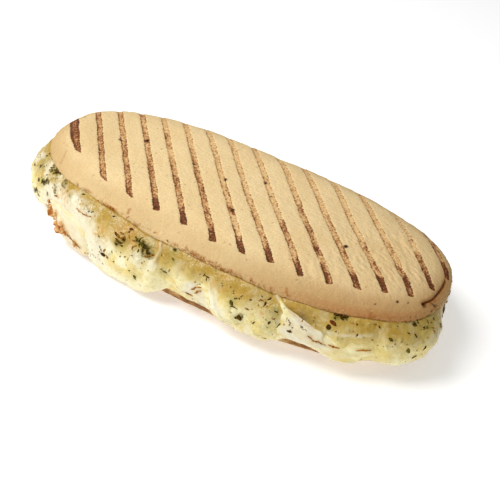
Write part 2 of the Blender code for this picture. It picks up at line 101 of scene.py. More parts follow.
# How far from its near end each mark turns light.
MARK_FADES = (40, 30, 36, 48, 60, 62, 62, 48, 55, 68, 52, 46, 40, 28, 40)
# How far the far end of each mark bends to the left.
MARK_BENDS = (0, 0, 0, 0, 0.5, 0.9, 0.9, 2.3, 2.3, 1.8, 2.3, 2.3, 1.9, 0.4, 0)
# One mark is only faint further than this from its near end.
FAINT_MARK = 13
FAINT_FROM = 26.0
MARK_NEAR_ENDS = (
    (78.6, 152), (104.2, 180.3), (130.5, 197.1), (156.2, 211.2), (181.5, 225.5), (214.4, 241.8),
    (242.5, 254.3), (270.2, 263.2), (301.4, 276.6), (330, 284.6), (357.7, 290), (383.6, 293.2),
    (409.5, 296.8), (430, 290), (447, 280),
)

# Filling.
FILLING_FLOOR = BOTTOM_THICKNESS + GAP
CHICKEN_TOP = 24.0
CHICKEN_MIDDLE = (FILLING_FLOOR + CHICKEN_TOP) / 2
CHEESE_UNDER = CHICKEN_TOP + GAP
INNER_REACH = -12.0
FULL_HEM = FILLING_FLOOR + 0.4
PLAIN_REACH = 5.0
DRAPE_THICKNESS = 6.5
REACH_SPREAD = 4.0
FACE_UNEVEN = 0.6
# Front end and back end of each slice: s, half width, reach and height of the lower edge.
SLICES = {
    "chicken_left": ((-80.5, 24, 12, 4), (372, 19, -3, 11.35)),
    "chicken_left_middle": ((-31, 22, -3, 11.35), (327, 21, 7, 9)),
    "chicken_middle": ((13, 15, 7, 9.5), (283, 20, -3, 11.35)),
    "chicken_right_middle": ((42, 9, -3, 11.35), (246, 14, 7, 9)),
    "chicken_right": ((79, 24.5, 8.5, 10), (210, 18, -3, 11.35)),
}
# How square the front ends and the back ends are: a higher power is squarer.
FRONT_SQUARENESS = 9
BACK_SQUARENESS = 3.5
SLICE_CORNER = 6.0
# How much further the slices run on into the cheese beside them.
SLICE_BURIED = 1.5
# The ends that lie inside are rounded over this length.
INSIDE_ROUNDING = 2.5
# The left end of the left slice steps back and up by this much.
LEFT_SLICE_TAPER = 5.0
# The lower edge of the right slice draws in by this much at its ends.
RIGHT_SLICE_DRAW = 4.5
RIDGED_SLICE = "chicken_right"
RIDGE_CORNER = 3.0
RIDGE_RISE = 8.5
RIDGE_RUN = 27.0
RIDGE_THICKNESS = 2.5
# The raised corner leans back under the bread by this much.
RIDGE_LEAN = 4.5
# Lobes of cheese: s, half width, height of the hem, reach.
LOBES = (
    (-117, 13.5, 7, 10.5), (-36, 25, 3.5, 12), (-5, 11, 11.6, 7.5), (39, 17, 8.6, 8.9), (117, 9.5, 12, 8),
    (207, 19, 8, 8.5), (283, 22, 6, 9.5), (369, 22, 6, 9.5),
)
# Where the cheese slopes down onto a slice: s, half width, reach.
OVER_CHICKEN = ((-80, 24, 7.5), (14, 13, 4.5), (87, 14, 7))
# Hollows between the lobes: s, half width, reach.
HOLLOWS = ((68, 15, 3), (159, 19, 0.5), (245, 16, 3), (326, 16, 2.5), (437, 34, 1))
# Swellings of the cheese: s, height, half width, half height, rise.
SWELLINGS = (
    (-122, 22, 6, 6, 1.2), (-112, 17, 6, 7, 1.6), (-50, 25, 6, 5, 1.4), (-38, 27, 5, 4, 1.6),
    (-24, 21, 6, 5, 2.4), (-37, 13, 8, 5, 1.5), (-14, 17, 4, 9, 1.4), (32, 20, 6, 5, 1.6),
    (38, 11, 6, 4, 1), (50, 13, 5, 6, 1.2), (112, 18, 6, 7, 1.5), (129, 25, 7, 6, 2.6),
)
# Where the cheese is curdled: s, half width.
CURDS = ((465, 16), (122, 14))
# Beyond this distance from the cheese a slice has no smear of it.
CHEESE_SEARCH = 8.0

# Resolution of the fine meshes.
TOP_GRID = (400, 170)
BOTTOM_GRID = (300, 110)
CHEESE_STATIONS = 900
CHEESE_POINTS = 88
SLICE_STATIONS = 110
SLICE_POINTS = 84
LUMP_COLUMNS = 22
LUMP_ROWS = 14

# Details of the top crust in pixels; the spots have a radius in millimetres.
RIGHT_CREASE = (
    (446, 280.5), (443.5, 286.5), (440.5, 291), (437.2, 295), (433, 299.5), (429.5, 301.5), (426, 302.6),
    (423.5, 304),
)
# Brown spots below the right crease: painted shade, in the toast colour.
CREASE_SHADE_SPOTS = ((429.5, 303, 2.2), (434, 300, 1.8), (424.5, 304, 1.7), (439, 293, 1.2))
RIGHT_LIP = ((431.5, 303.5), (433.5, 305.5), (435.5, 306.5))
LEFT_CREASE = ((66.5, 150.5), (65, 153), (63.6, 156.7), (61.5, 160.5), (60.2, 163.3))
TOASTED_RIM = ((184, 248), (196, 256), (210, 263), (222, 268), (231, 273))
RIM_CURLS = ((108, 207.5), (111, 209), (113.5, 210.5))
RIM_SPIKES = (
    ((251, 279), (254, 284)), ((271, 288), (271.5, 292)), ((286.5, 288.5), (287, 295)),
    ((371, 314), (369.5, 318)), ((128, 213), (130, 209.5)),
)
WRINKLED = ((352, 262, 14), (385, 268, 14), (402, 246, 12), (412, 272, 10), (324, 268, 12), (360, 238, 10))
CHAR_DOTS = (
    (147, 140.5, 1.9), (120.5, 139.5, 1.3), (194, 163.5, 1.1), (225.5, 179.5, 1.1), (233, 210, 1.2),
    (232.5, 209, 0.8), (345.5, 246.5, 1.5), (265.5, 182.5, 1.2), (271.5, 195.5, 0.8), (423.8, 304.6, 1.5),
    (435.3, 306.2, 0.9), (85, 117.5, 0.9), (375.5, 304, 0.5), (397.5, 301.8, 0.8), (408.5, 302.8, 0.5),
    (350.5, 273.5, 0.7),
)
# Toasted patches on the strip of the bottom crust that shows.
BOTTOM_TOASTED = (
    (167, 292.5, 5), (176, 297, 5), (186, 300.5, 6), (197, 306, 7), (205, 309, 5), (294, 342, 6),
    (305, 346, 6), (316, 350, 5),
)

# Patches on the filling: pixels and a radius in millimetres.
# Whiter patches: partly whiter cheese, partly painted highlights on the wet cheese.
WHITE_AND_HIGHLIGHT_PATCHES = (
    (41, 157, 4), (50, 165, 4.5), (47, 172, 3), (76, 198, 4), (108, 245, 4), (137, 259, 4.5),
    (150, 263, 3.5), (121, 262, 3), (212, 296, 4), (219, 310, 4), (247, 331, 3), (286, 322, 4),
    (205, 293, 3.5), (190, 285, 2),
)
GREEN_PATCHES = (
    (44, 162, 6), (58, 171, 5), (40, 184, 4), (120, 241, 5), (144, 249, 7), (174, 250, 4), (173, 260, 3),
    (165, 273, 3), (134, 276, 3), (238, 318, 4), (229, 322, 3), (340, 316, 5), (420, 327, 9), (433, 322, 8),
    (268, 325, 6), (274, 314, 4), (232, 302, 3),
)
LEAF_PATCHES = (
    (142, 244, 2.4), (146, 250, 3.2), (151, 255, 2.4), (138, 240, 1.6), (117, 243, 1.8), (124, 240, 1.3),
    (57, 171, 2.4), (61, 173, 1.8), (51, 170, 1.4), (39, 180, 1), (240, 317, 1.6), (338, 315, 2.4),
    (345, 317, 2), (175, 249, 1.2), (415, 324, 1.2), (428, 327, 1),
)
TOASTED_PATCHES = (
    (64, 196, 5), (58, 196, 3), (130, 230, 6), (118, 235, 5), (101, 231, 5), (104, 240, 3), (158, 247, 2.5),
    (156, 257, 2.5), (126, 232, 5), (121, 238, 3.5), (132, 244, 3), (225, 277, 2.2), (222, 289, 2.2),
    (239, 293, 2.4), (262, 314, 1.6), (213, 284, 2), (293, 304, 3), (301, 314, 2.5),
)
# Patches away from the photographed ones: mask, strength, size, shift of the noise, low, high.
NOISE_PATCHES = (
    ("white", 1.0, 9, 1, 0.12, 0.5), ("green", 0.8, 11, 2, 0.18, 0.6),
    ("leaf", 1.0, 5, 4, 0.42, 0.55), ("toast", 0.7, 8, 3, 0.3, 0.7),
)
# Where the meat comes through the cheese: a line of pixels and a half width in millimetres.
MEAT_AREAS = (
    (((52, 200), (64, 209), (80, 224), (94, 250)), 11), (((190, 289), (201, 294), (212, 303)), 4.5),
)
# Seared strokes on the filling: lines of pixels.
SEARED_PATHS = (
    ((76, 209), (83, 214), (91, 217)), ((110, 207), (114, 210)), ((193, 289), (199.5, 287.5)),
    ((185.5, 293), (192, 295)), ((196.5, 292.5), (200.5, 291)),
    ((308, 336), (311, 338), (313, 341.5), (317, 341), (325, 345)), ((330, 346), (338, 348)),
    ((358, 350.5), (370, 350.5)), ((66, 232), (72, 240), (80, 248)),
)
# Folds and strands on the filling: a line of pixels, its rise and half width, and its tint if any.
FOLDS = (
    (((277, 295.5), (279.5, 300.5), (283.4, 305), (289, 312.5), (295.3, 320), (304, 327), (311.7, 329.9),
     (321.4, 333.1)), 0.9, 0.8, "white"),
    (((281, 298.5), (286.5, 306), (293, 313.5), (300, 320.5), (305, 324.5), (312, 328), (321, 331.5)),
     -0.3, 0.45, "toast"),
    (((293.9, 335), (306, 342), (330, 352), (350, 358), (365, 362.8)), 0.6, 0.6, "white"),
    (((297, 331), (312, 341), (330, 348.5), (352, 355)), -0.5, 0.5),
    (((322, 337), (338, 342), (360, 345)), -0.4, 0.6),
    (((325, 331.5), (340, 335), (356, 336), (372, 335)), 0.5, 0.8, "white"),
    (((386, 325), (396, 320), (405, 324)), 0.5, 0.9),
    (((210.7, 288.5), (213.5, 296), (214.5, 304), (217, 311), (220.5, 317.5)), 1, 1.1, "white"),
    (((186, 283), (192, 281.8), (198, 283.2), (208.5, 288.5)), 0.8, 0.8, "white"),
    (((167, 281), (175, 285), (181, 291)), 0.5, 0.8, "white"),
    (((162, 272), (171, 278.5), (178, 287)), -0.3, 0.5, "toast"),
    (((160.5, 243), (161, 250), (157, 256), (154.5, 262)), 0.8, 0.9, "white"),
    (((163, 244.5), (163.5, 252), (159, 260)), -0.3, 0.5, "toast"),
    (((63.6, 173), (65.2, 177.8), (64.7, 184.4), (67.5, 189)), 0.9, 0.5, "white"),
    (((48, 190), (60, 184), (66, 186)), 0.4, 0.8, "white"),
    (((73, 191), (80, 198), (88, 203.5)), 0.8, 0.9, "white"),
    (((75, 208), (83, 213), (91, 217)), -0.5, 0.6),
    (((400, 340), (405, 348), (398, 356)), 0.4, 1.2),
    (((434, 330), (431, 338), (425, 345)), 0.4, 0.9, "white"),
)
# Browned lumps on the edge of the left slice: pixel, radius and how far each stands out.
LUMPS = (
    (52.5, 212, 2.1, 0.6), (50.5, 215, 1.5, 0.5), (54.5, 218.5, 1.5, 0.3), (57, 223.5, 1.6, 0.4),
    (59.5, 229, 2.2, 0.7), (63.5, 230.5, 1.8, 0.5), (48, 206.5, 1.3, 0.2), (61.5, 224.5, 1.3, 0.2),
    (55.5, 214, 1.3, 0.2), (75, 244.5, 1.2, 0.2), (44.5, 203, 1, 0.1), (66.5, 233.5, 1.1, 0.2),
)

# Dried herbs: pixel, length, width, turn in the picture, and the kind unless it is dark.
HERBS = (
    (38.8, 179.4, 2.4, 1.6, 60, "green"), (47, 156, 2, 1, 30), (49, 154, 1.6, 0.9, 70),
    (40, 157, 1.2, 0.6, 10), (52, 168, 2.2, 0.9, 20), (55, 170, 2, 0.8, 60), (58, 172, 2.4, 1.1, 10),
    (60.5, 173, 2.2, 1.2, 40), (54, 173.5, 1.8, 0.8, 160), (57, 168.5, 1.8, 0.8, 100, "green"),
    (49.5, 170, 1.6, 0.8, 40, "brown"), (47, 175, 1.4, 0.7, 10, "brown"), (53, 188, 1.2, 0.6, 80, "brown"),
    (55.5, 190.5, 1.4, 0.8, 10, "brown"), (56, 196, 2.4, 1, 10, "brown"),
    (60.5, 190, 1.2, 0.6, 50, "brown"), (84, 194.5, 2.4, 1, 20, "green"), (93, 212, 1.4, 0.7, 20),
    (98, 227.5, 0.9, 0.7, 0), (99, 236, 1.8, 0.8, 60), (114, 216.5, 1.8, 0.9, 10), (116, 234, 2.8, 1.1, 60),
    (118.5, 241.5, 2, 1.1, 70), (121, 238, 2.4, 1.2, 20, "brown"), (123.5, 242, 2.2, 1, 120, "brown"),
    (125, 237.5, 2.2, 1.2, 80, "brown"), (118, 236, 3.2, 1.4, 60, "brown"),
    (122, 233.5, 2.6, 1.2, 30, "brown"), (128.5, 232, 2.6, 1.2, 150, "brown"),
    (129.5, 236.5, 2.2, 1, 80, "brown"), (116.6, 240, 2.4, 1, 60, "green"), (120.5, 243, 2.2, 1, 10),
    (134, 241, 2, 1, 20, "brown"), (132.5, 247.5, 2.2, 1, 100, "olive"), (121.5, 245.5, 2, 1, 20),
    (131.5, 229.5, 2.4, 1.6, 20, "rust"), (139, 241, 3, 1.4, 30), (142.5, 245, 3.4, 1.8, 70, "green"),
    (144, 249.5, 3.6, 1.6, 110), (147, 251.5, 3.4, 1.4, 70), (150, 255.5, 3.8, 1.2, 160, "brown"),
    (146, 256.5, 2.6, 1, 10, "brown"), (141, 239, 3, 1.8, 140, "green"), (136, 238, 2.2, 1, 60, "green"),
    (148.5, 247, 2.6, 1.6, 60, "green"), (135, 246, 2.2, 1.2, 10, "brown"), (138, 251, 2, 1, 100, "green"),
    (100, 246.5, 1.8, 0.8, 100), (103, 254.5, 3.6, 2.2, 10), (107, 256.5, 2.8, 1.6, 40, "brown"),
    (104.5, 250.5, 2.2, 1.4, 140, "brown"), (100, 252.5, 1.8, 1, 60, "brown"),
    (101, 250, 1.6, 0.8, 60, "green"), (112, 252, 1.4, 0.7, 80, "green"), (113.5, 261.5, 1, 0.8, 0),
    (103, 264, 1.2, 0.7, 50), (129, 270.5, 1.8, 0.8, 160, "green"), (134.5, 277.5, 2.8, 2, 80, "green"),
    (132, 256, 1.6, 0.8, 40, "brown"), (162, 255, 1.4, 0.8, 80), (174.5, 250, 2.4, 0.9, 20, "green"),
    (173, 260, 2.4, 1.5, 60, "olive"), (165, 272, 2.8, 1.2, 30, "olive"),
    (169, 270.5, 2, 0.8, 140, "olive"), (203.5, 275, 3.2, 0.9, 140), (207, 276.5, 3, 0.9, 20),
    (206.5, 279, 2, 0.8, 110), (199, 284, 1.8, 0.8, 0), (231.3, 302.6, 3, 2, 70, "green"),
    (233.5, 307.8, 4.2, 0.9, 20), (247, 309, 2.6, 0.8, 20, "brown"), (264.4, 304.3, 3, 1.3, 120),
    (269.3, 298.8, 2.4, 1.1, 150), (261.7, 300.5, 2, 0.8, 20, "brown"), (262, 296, 1.4, 0.6, 60),
    (239.4, 317.3, 3.4, 2.6, 80), (236.5, 318, 2.4, 1.4, 10, "green"), (254, 322.7, 2.2, 0.8, 140),
    (269.3, 322.7, 2.4, 1.1, 120), (277.9, 325.4, 3.6, 1, 120), (276.3, 311.9, 2, 0.8, 20),
    (289.3, 331.4, 2.8, 1.3, 0), (263.8, 337.9, 2.6, 0.9, 10), (267, 327, 1.6, 0.7, 60, "green"),
    (274, 319, 1.6, 0.7, 150, "brown"), (250.5, 300, 1.4, 0.6, 10), (337, 315, 3.4, 1.8, 20),
    (341.5, 317, 3.6, 2, 60), (346, 317, 2.8, 1.4, 10), (333.4, 323.4, 4.2, 2, 40, "rust"),
    (328.7, 327.4, 2.6, 2.6, 0), (356.7, 335.3, 1.8, 1, 120), (352, 323, 1.6, 1, 20, "brown"),
    (357, 324.5, 1.4, 1, 70, "brown"), (376, 325, 2.2, 1, 10, "brown"), (379.5, 327, 1.4, 0.7, 60),
    (302.5, 320.5, 1.6, 0.7, 120, "brown"), (390.8, 339.6, 2.6, 1.5, 40, "green"),
    (408.7, 333.1, 1.6, 0.7, 20), (415.8, 335.8, 2.6, 0.9, 50), (414.7, 325, 2.4, 1.4, 10),
    (418, 322, 1.8, 1, 70), (408.2, 349.4, 4, 2.4, 70, "olive"), (424.4, 348.3, 3, 1.4, 100),
    (414.1, 357, 2.8, 0.9, 150, "brown"), (432.6, 327.7, 2, 0.8, 20, "brown"), (433.7, 319, 1.6, 0.8, 90),
    (440.7, 325.5, 2.4, 0.8, 90), (424, 328, 1.4, 0.8, 20), (434.5, 332, 1.6, 0.7, 90, "brown"),
    (427.5, 320.5, 1.4, 0.7, 40, "green"), (431, 312, 1.6, 0.8, 120),
)
# Rows of fine specks on the filling, and of toasted crumbs on the rim: from, to, count, spread.
SPECKS = (
    ((86, 206), (93, 214), 5, 2), ((90, 251), (100, 262), 6, 3), ((234.6, 298.5), (242.2, 298.5), 6, 0.3),
    ((288, 318), (292, 330), 10, 2), ((300, 325), (306, 331), 8, 1.5), ((118, 250), (128, 262), 8, 4),
    ((256, 300), (278, 330), 14, 7), ((412, 318), (436, 336), 16, 8), ((38, 160), (60, 178), 18, 7),
    ((222, 284), (240, 296), 8, 5), ((140, 262), (160, 274), 6, 5), ((330, 330), (380, 340), 6, 4),
)
CRUMBS = (
    ((184, 248), (230, 273), 55, 1.8), ((96, 200), (140, 224), 14, 0.9), ((140, 224), (184, 250), 14, 0.9),
    ((230, 273), (300, 300), 16, 0.9),
)
SCATTER_SEED = 11
# Herbs scattered over the sides that the photograph does not show: their number, the stretch of s,
# the heights, and from where outside the rim to where inside it each is looked for.
SCATTERED = 190
SCATTER_STRETCH = (135.0, 450.0)
SCATTER_HEIGHTS = (8.0, 32.0)
SCATTER_REACHES = (40.0, -10.0)
SCATTER_FARTHEST = 42.0
# Seared strokes are rows of thin chips this far apart along their paths, in pixels.
SEAR_STEP = 1.7
# The rings of points that make up a flake, and how its outline runs: to the side, and up.
FLAKE_STEPS = 5
FLAKE_RING = ((-1, -0.12), (0, 0.14), (1, -0.1), (0, -0.35))


def smooth(value, low, high):
    """0 below low, 1 above high, and an S curve between."""
    t = np.clip((np.asarray(value, float) - low) / (high - low), 0, 1)
    return t * t * (3 - 2 * t)


def fall(value, low, high):
    """1 below low, 0 above high, and an S curve between."""
    return 1 - smooth(value, low, high)


def bell(value, centre, width):
    return np.exp(-((value - centre) / width) ** 2)


def srgb(red, green, blue):
    """A colour given on a 0 to 255 scale, as linear light."""
    parts = [part / 255 for part in (red, green, blue)]
    return tuple(p / 12.92 if p <= 0.04045 else ((p + 0.055) / 1.055) ** 2.4 for p in parts)


def noise_field(points, size, shift=0.0, octaves=2):
    """Smooth noise near -1 to 1 at each point, with features of this size."""
    start = Vector((shift, 2.3 * shift, -1.7 * shift))
    return np.array([noise.fractal(Vector(p) + start, 1.0, 2.0, octaves)
                     for p in np.asarray(points, float) / size])


def noise_at(x, y, z, shift=0.0, octaves=2):
    """The same noise where the three coordinates are given one by one."""
    return noise_field(np.stack(np.broadcast_arrays(x, y, z), -1), 1.0, shift, octaves)


def camera_axes():
    """Where the camera stands, and which way its right, its top and its back face."""
    azimuth = math.radians(CAMERA_AZIMUTH)
    elevation = math.radians(CAMERA_ELEVATION)
    roll = math.radians(CAMERA_ROLL)
    away = Vector((math.sin(azimuth) * math.cos(elevation),
                   -math.cos(azimuth) * math.cos(elevation), math.sin(elevation)))
    level = (-away).cross(Vector((0, 0, 1))).normalized()
    upright = level.cross(-away)
    right = math.cos(roll) * level + math.sin(roll) * upright
    up = -math.sin(roll) * level + math.cos(roll) * upright
    return Vector(CAMERA_TARGET) + away * CAMERA_DISTANCE, right, up, away


CAMERA_PLACE, CAMERA_RIGHT, CAMERA_UP, CAMERA_AWAY = camera_axes()


def pixel_ray(pixel):
    """The direction from the camera through a pixel of the photograph."""
    across = pixel[0] - PHOTO_SIZE / 2
    down = pixel[1] - PHOTO_SIZE / 2
    return (CAMERA_RIGHT * across - CAMERA_UP * down - CAMERA_AWAY * FOCAL_PIXELS).normalized()


def on_surface(tree, pixel):
    """The place on a surface that shows at a pixel, and the surface's normal there."""
    return tree.ray_cast(CAMERA_PLACE, pixel_ray(pixel))[:2]


def add_object(name, data):
    made = bpy.data.objects.new(name, data)
    bpy.context.scene.collection.objects.link(made)
    return made


def add_camera():
    data = bpy.data.cameras.new("camera")
    data.sensor_width = SENSOR
    data.lens = FOCAL_PIXELS * SENSOR / PHOTO_SIZE
    data.clip_start = 0.01
    camera = add_object("camera", data)
    axes = Matrix((CAMERA_RIGHT, CAMERA_UP, CAMERA_AWAY)).transposed().to_4x4()
    camera.matrix_world = Matrix.Translation(CAMERA_PLACE * MM) @ axes
    bpy.context.scene.camera = camera


class Surface:
    """A fine mesh in millimetres with its relief and the masks that its material reads."""

    def __init__(self, name, points, faces):
        self.name = name
        self.points = np.asarray(points, float)
        self.mesh = bpy.data.meshes.new(name)
        self.mesh.from_pydata(self.points.tolist(), [], faces)
        turned = bmesh.new()
        turned.from_mesh(self.mesh)
        bmesh.ops.recalc_face_normals(turned, faces=turned.faces)
        turned.to_mesh(self.mesh)
        turned.free()
        self.faces = [tuple(face.vertices) for face in self.mesh.polygons]
        self.masks = {}
        self.tree_points = None

    def raise_by(self, amount):
        """Move each point along its normal."""
        self.mesh.vertices.foreach_set("co", self.points.ravel())
        self.mesh.update()
        normals = np.zeros(self.points.size)
        self.mesh.vertex_normals.foreach_get("vector", normals)
        self.points = self.points + normals.reshape(-1, 3) * np.asarray(amount)[:, None]

    def tree(self):
        """The surface as rays meet it, made anew once its points have moved."""
        if self.tree_points is not self.points:
            self.tree_points = self.points
            self.rays = BVHTree.FromPolygons(self.points.tolist(), self.faces)
        return self.rays

    def away_from(self, pixels):
        """How far each point is from the line that shows at these pixels."""
        seen = [on_surface(self.tree(), pixel)[0] for pixel in pixels]
        path = np.array([place for place in seen if place is not None], float)
        best = np.full(len(self.points), FAR_AWAY)
        for a, b in zip(path[:-1], path[1:]):
            side = b - a
            t = np.clip((self.points - a) @ side / max(float(side @ side), 1e-9), 0, 1)
            best = np.minimum(best, np.linalg.norm(self.points - a - t[:, None] * side, axis=1))
        return best

    def mask(self, name, values):
        """Add to a mask: the higher value counts."""
        self.masks[name] = np.maximum(self.masks.get(name, 0.0), np.clip(values, 0, 1))

    def spots(self, name, places, ragged=0.0, strength=1.0, size=1.0):
        """Add round spots to a mask; ragged is noise that roughens their soft edges."""
        for x, y, radius in places:
            place = on_surface(self.tree(), (x, y))[0]
            if place is not None:
                away = np.linalg.norm(self.points - np.asarray(place), axis=1) / (size * radius)
                self.mask(name, strength * fall(away + ragged, 0.45, 1.2))

    def finish(self, material, *nodes):
        """Make the object, give it its masks and material, and let it replace its nodes."""
        self.mesh.vertices.foreach_set("co", (self.points * MM).ravel())
        self.mesh.update()
        for name, values in self.masks.items():
            layer = self.mesh.attributes.new(name, "FLOAT", "POINT")
            layer.data.foreach_set("value", np.ascontiguousarray(values, np.float32))
        self.mesh.shade_smooth()
        self.mesh.materials.append(material)
        piece = add_object(self.name, self.mesh)
        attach(piece, "root")
        if nodes:
            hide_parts(*nodes)
        return piece


def grid_faces(index, closed=False):
    """Quads between neighbours in a two-way table of point numbers."""
    table = np.vstack([index, index[:1]]) if closed else index
    quads = np.stack([table[:-1, :-1], table[:-1, 1:], table[1:, 1:], table[1:, :-1]], -1)
    return quads.reshape(-1, 4).tolist()


def joined_tree(surfaces):
    """Several surfaces as one that rays meet."""
    points = np.vstack([surface.points for surface in surfaces])
    faces = []
    start = 0
    for surface in surfaces:
        faces += [[i + start for i in face] for face in surface.faces]
        start += len(surface.points)
    return BVHTree.FromPolygons(points.tolist(), faces)


class Oval:
    """A superellipse outline that is walked by the distance along it."""

    def __init__(self, bulge, pinch):
        self.bulge = bulge
        self.pinch = pinch
        turn = np.linspace(-math.pi / 2, 1.5 * math.pi, OVAL_SAMPLES + 1)
        x, y = (np.sign(part) * np.abs(part) ** (2 / OVAL_POWER) for part in (np.cos(turn), np.sin(turn)))
        self.x = x * self.half_x(x)
        self.y = y * self.half_y(self.x, y)
        step = np.hypot(np.diff(self.x), np.diff(self.y))
        self.s = np.concatenate([[0.0], np.cumsum(step)])
        self.perimeter = self.s[-1]

    def half_x(self, x):
        return np.where(np.asarray(x) < 0, LEFT_LENGTH, RIGHT_LENGTH)

    def half_y(self, x, y):
        change = np.where(np.asarray(y) > 0, self.bulge, -self.pinch)
        return HALF_WIDTH + change * smooth(x, 0.0, 0.8 * RIGHT_LENGTH)

    def level(self, x, y):
        """0 at the middle and 1 on the outline."""
        part_x = np.abs(x / self.half_x(x)) ** OVAL_POWER
        part_y = np.abs(y / self.half_y(x, y)) ** OVAL_POWER
        return (part_x + part_y) ** (1 / OVAL_POWER)

    def slope(self, x, y):
        """The gradient of level."""
        scale = np.maximum(self.level(x, y), 1e-6) ** (1 - OVAL_POWER)
        power = OVAL_POWER - 1
        half_x = self.half_x(x)
        half_y = self.half_y(x, y)
        return (scale * np.sign(x) * np.abs(x / half_x) ** power / half_x,
                scale * np.sign(y) * np.abs(y / half_y) ** power / half_y)

    def inset(self, x, y):
        """How far inside the outline a point lies."""
        return (1 - self.level(x, y)) / np.maximum(np.hypot(*self.slope(x, y)), 1e-6)

    def point(self, s, reach=0.0):
        """The point at s along the outline, moved out by reach."""
        s = np.mod(s, self.perimeter)
        x = np.interp(s, self.s, self.x)
        y = np.interp(s, self.s, self.y)
        gx, gy = self.slope(x, y)
        size = np.hypot(gx, gy)
        return x + reach * gx / size, y + reach * gy / size

    def edge_y(self, x, side):
        """Where the outline lies at x, on the back (side 1) or the front (side -1)."""
        reach = np.clip(1 - np.abs(x / self.half_x(x)) ** OVAL_POWER, 0, None)
        return side * self.half_y(x, side) * reach ** (1 / OVAL_POWER)

    def walk(self, x, y):
        """s of the outline point in the direction of each given point near the outline."""
        turn = np.unwrap(np.arctan2(self.y / HALF_WIDTH, self.x / RIGHT_LENGTH))
        own = np.mod(np.arctan2(y / HALF_WIDTH, x / RIGHT_LENGTH) - turn[0], 2 * math.pi)
        return np.interp(own, turn - turn[0], self.s)


OVAL = Oval(BACK_RIGHT_BULGE, 0.0)
BOTTOM_OVAL = Oval(BACK_RIGHT_BULGE, BOTTOM_PINCH)


def along_rim(s, centre):
    """The distance from centre to s, measured round the closed rim."""
    return np.abs(np.mod(s - centre + OVAL.perimeter / 2, OVAL.perimeter) - OVAL.perimeter / 2)


def plateau(s, centre, half_width):
    """1 near the centre and 0 far from it."""
    return np.exp(-(along_rim(s, centre) / half_width) ** 6)


def rim_height(s):
    """Height of the top bread's lower rim, which is slightly wavy."""
    turn = 2 * math.pi * s / OVAL.perimeter
    centre, half_width, rise = RIM_LIFT
    lifted = rise * fall(along_rim(s, centre), 0.3 * half_width, 1.3 * half_width)
    return RIM_HEIGHT + lifted + RIM_WAVE * (np.sin(7 * turn + 0.6) + 0.6 * np.sin(17 * turn + 2.1))


def crust_profile(inset, rounding, side):
    """Height gained from the rim inwards: a rounded side that ends flat."""
    t = 1 - np.clip(inset / rounding, 0, 1)
    return side * np.sqrt(np.clip(1 - t * t, 0, 1))


def bottom_reach(s, z):
    """How far the side of the bottom bread stands out past the top rim, at height z."""
    turn = math.radians(-BOTTOM_TURN)
    reach = np.zeros_like(np.asarray(s, float))
    for _ in range(6):
        x, y = OVAL.point(s, reach)
        x = x - BOTTOM_SHIFT[0]
        y = y - BOTTOM_SHIFT[1]
        reach = reach + BOTTOM_OVAL.inset(x * math.cos(turn) - y * math.sin(turn),
                                          x * math.sin(turn) + y * math.cos(turn))
    rise = np.clip((BOTTOM_THICKNESS - np.asarray(z, float)) / BOTTOM_THICKNESS, 0, 1)
    return reach - BOTTOM_ROUNDING * (1 - np.sqrt(1 - rise ** 2))


def spline(points, count):
    """Points spread evenly along a Catmull-Rom curve through the given ones."""
    points = np.asarray(points, float)
    p = np.vstack([2 * points[0] - points[1], points, 2 * points[-1] - points[-2]])
    t = np.linspace(0, 1, 12, endpoint=False)[:, None]
    dense = [0.5 * (2 * b + (c - a) * t + (2 * a - 5 * b + 4 * c - d) * t ** 2
                    + (3 * b - a - 3 * c + d) * t ** 3)
             for a, b, c, d in zip(p, p[1:], p[2:], p[3:])]
    dense = np.vstack(dense + [points[-1:]])
    walked = np.concatenate([[0], np.cumsum(np.linalg.norm(np.diff(dense, axis=0), axis=1))])
    at = np.linspace(0, walked[-1], count)
    return np.stack([np.interp(at, walked, dense[:, k]) for k in range(2)], -1)


def cheese_form(s):
    """Height of the hem, and how far the cheese reaches out, at s. It runs on behind the chicken."""
    hem = FULL_HEM
    reach = PLAIN_REACH
    for centre, half_width, far in OVER_CHICKEN + HOLLOWS:
        reach += plateau(s, centre, half_width) * (far - PLAIN_REACH)
    for centre, half_width, low, far in LOBES:
        hem += plateau(s, centre, half_width) * min(0.0, low - hem)
        reach += plateau(s, centre, half_width + REACH_SPREAD) * max(0.0, far - reach)
    return float(hem), float(reach)


def cheese_section(s):
    """The section of the cheese at s: from under the bread, out, down and back in."""
    hem, reach = cheese_form(s)
    top = float(rim_height(s)) - GAP
    clear = float(bottom_reach(s, BOTTOM_THICKNESS)) + 2 * GAP
    inner = reach - DRAPE_THICKNESS
    inner += float(fall(hem, 9.0, FULL_HEM)) * (max(inner, clear) - inner)
    drop = top - hem
    parted = 0.7 + 0.9 * noise.noise(Vector((s / 11, 0.7, 4.0)))
    under = CHEESE_UNDER + 0.2
    return spline([
        (INNER_REACH, RIM_HEIGHT - 2 * RIM_WAVE - GAP), (-2.0, top), (0.16 * reach, top - parted),
        (0.78 * reach, top - 0.30 * drop), (reach, top - 0.62 * drop),
        (reach - 0.3, hem + 0.12 * drop), (reach - 1.6, hem),
        (inner + 0.3, hem + 0.07 * drop), (inner - 0.4, hem + 0.5 * (under - hem)),
        (inner - 1.6, under), (INNER_REACH, CHEESE_UNDER)], CHEESE_POINTS)


def swell(s, z):
    """How far the face of the cheese swells at s and at each height z."""
    return sum(most * bell(along_rim(s, centre), 0, half_width) * bell(z, height, half_height)
               for centre, height, half_width, half_height, most in SWELLINGS)


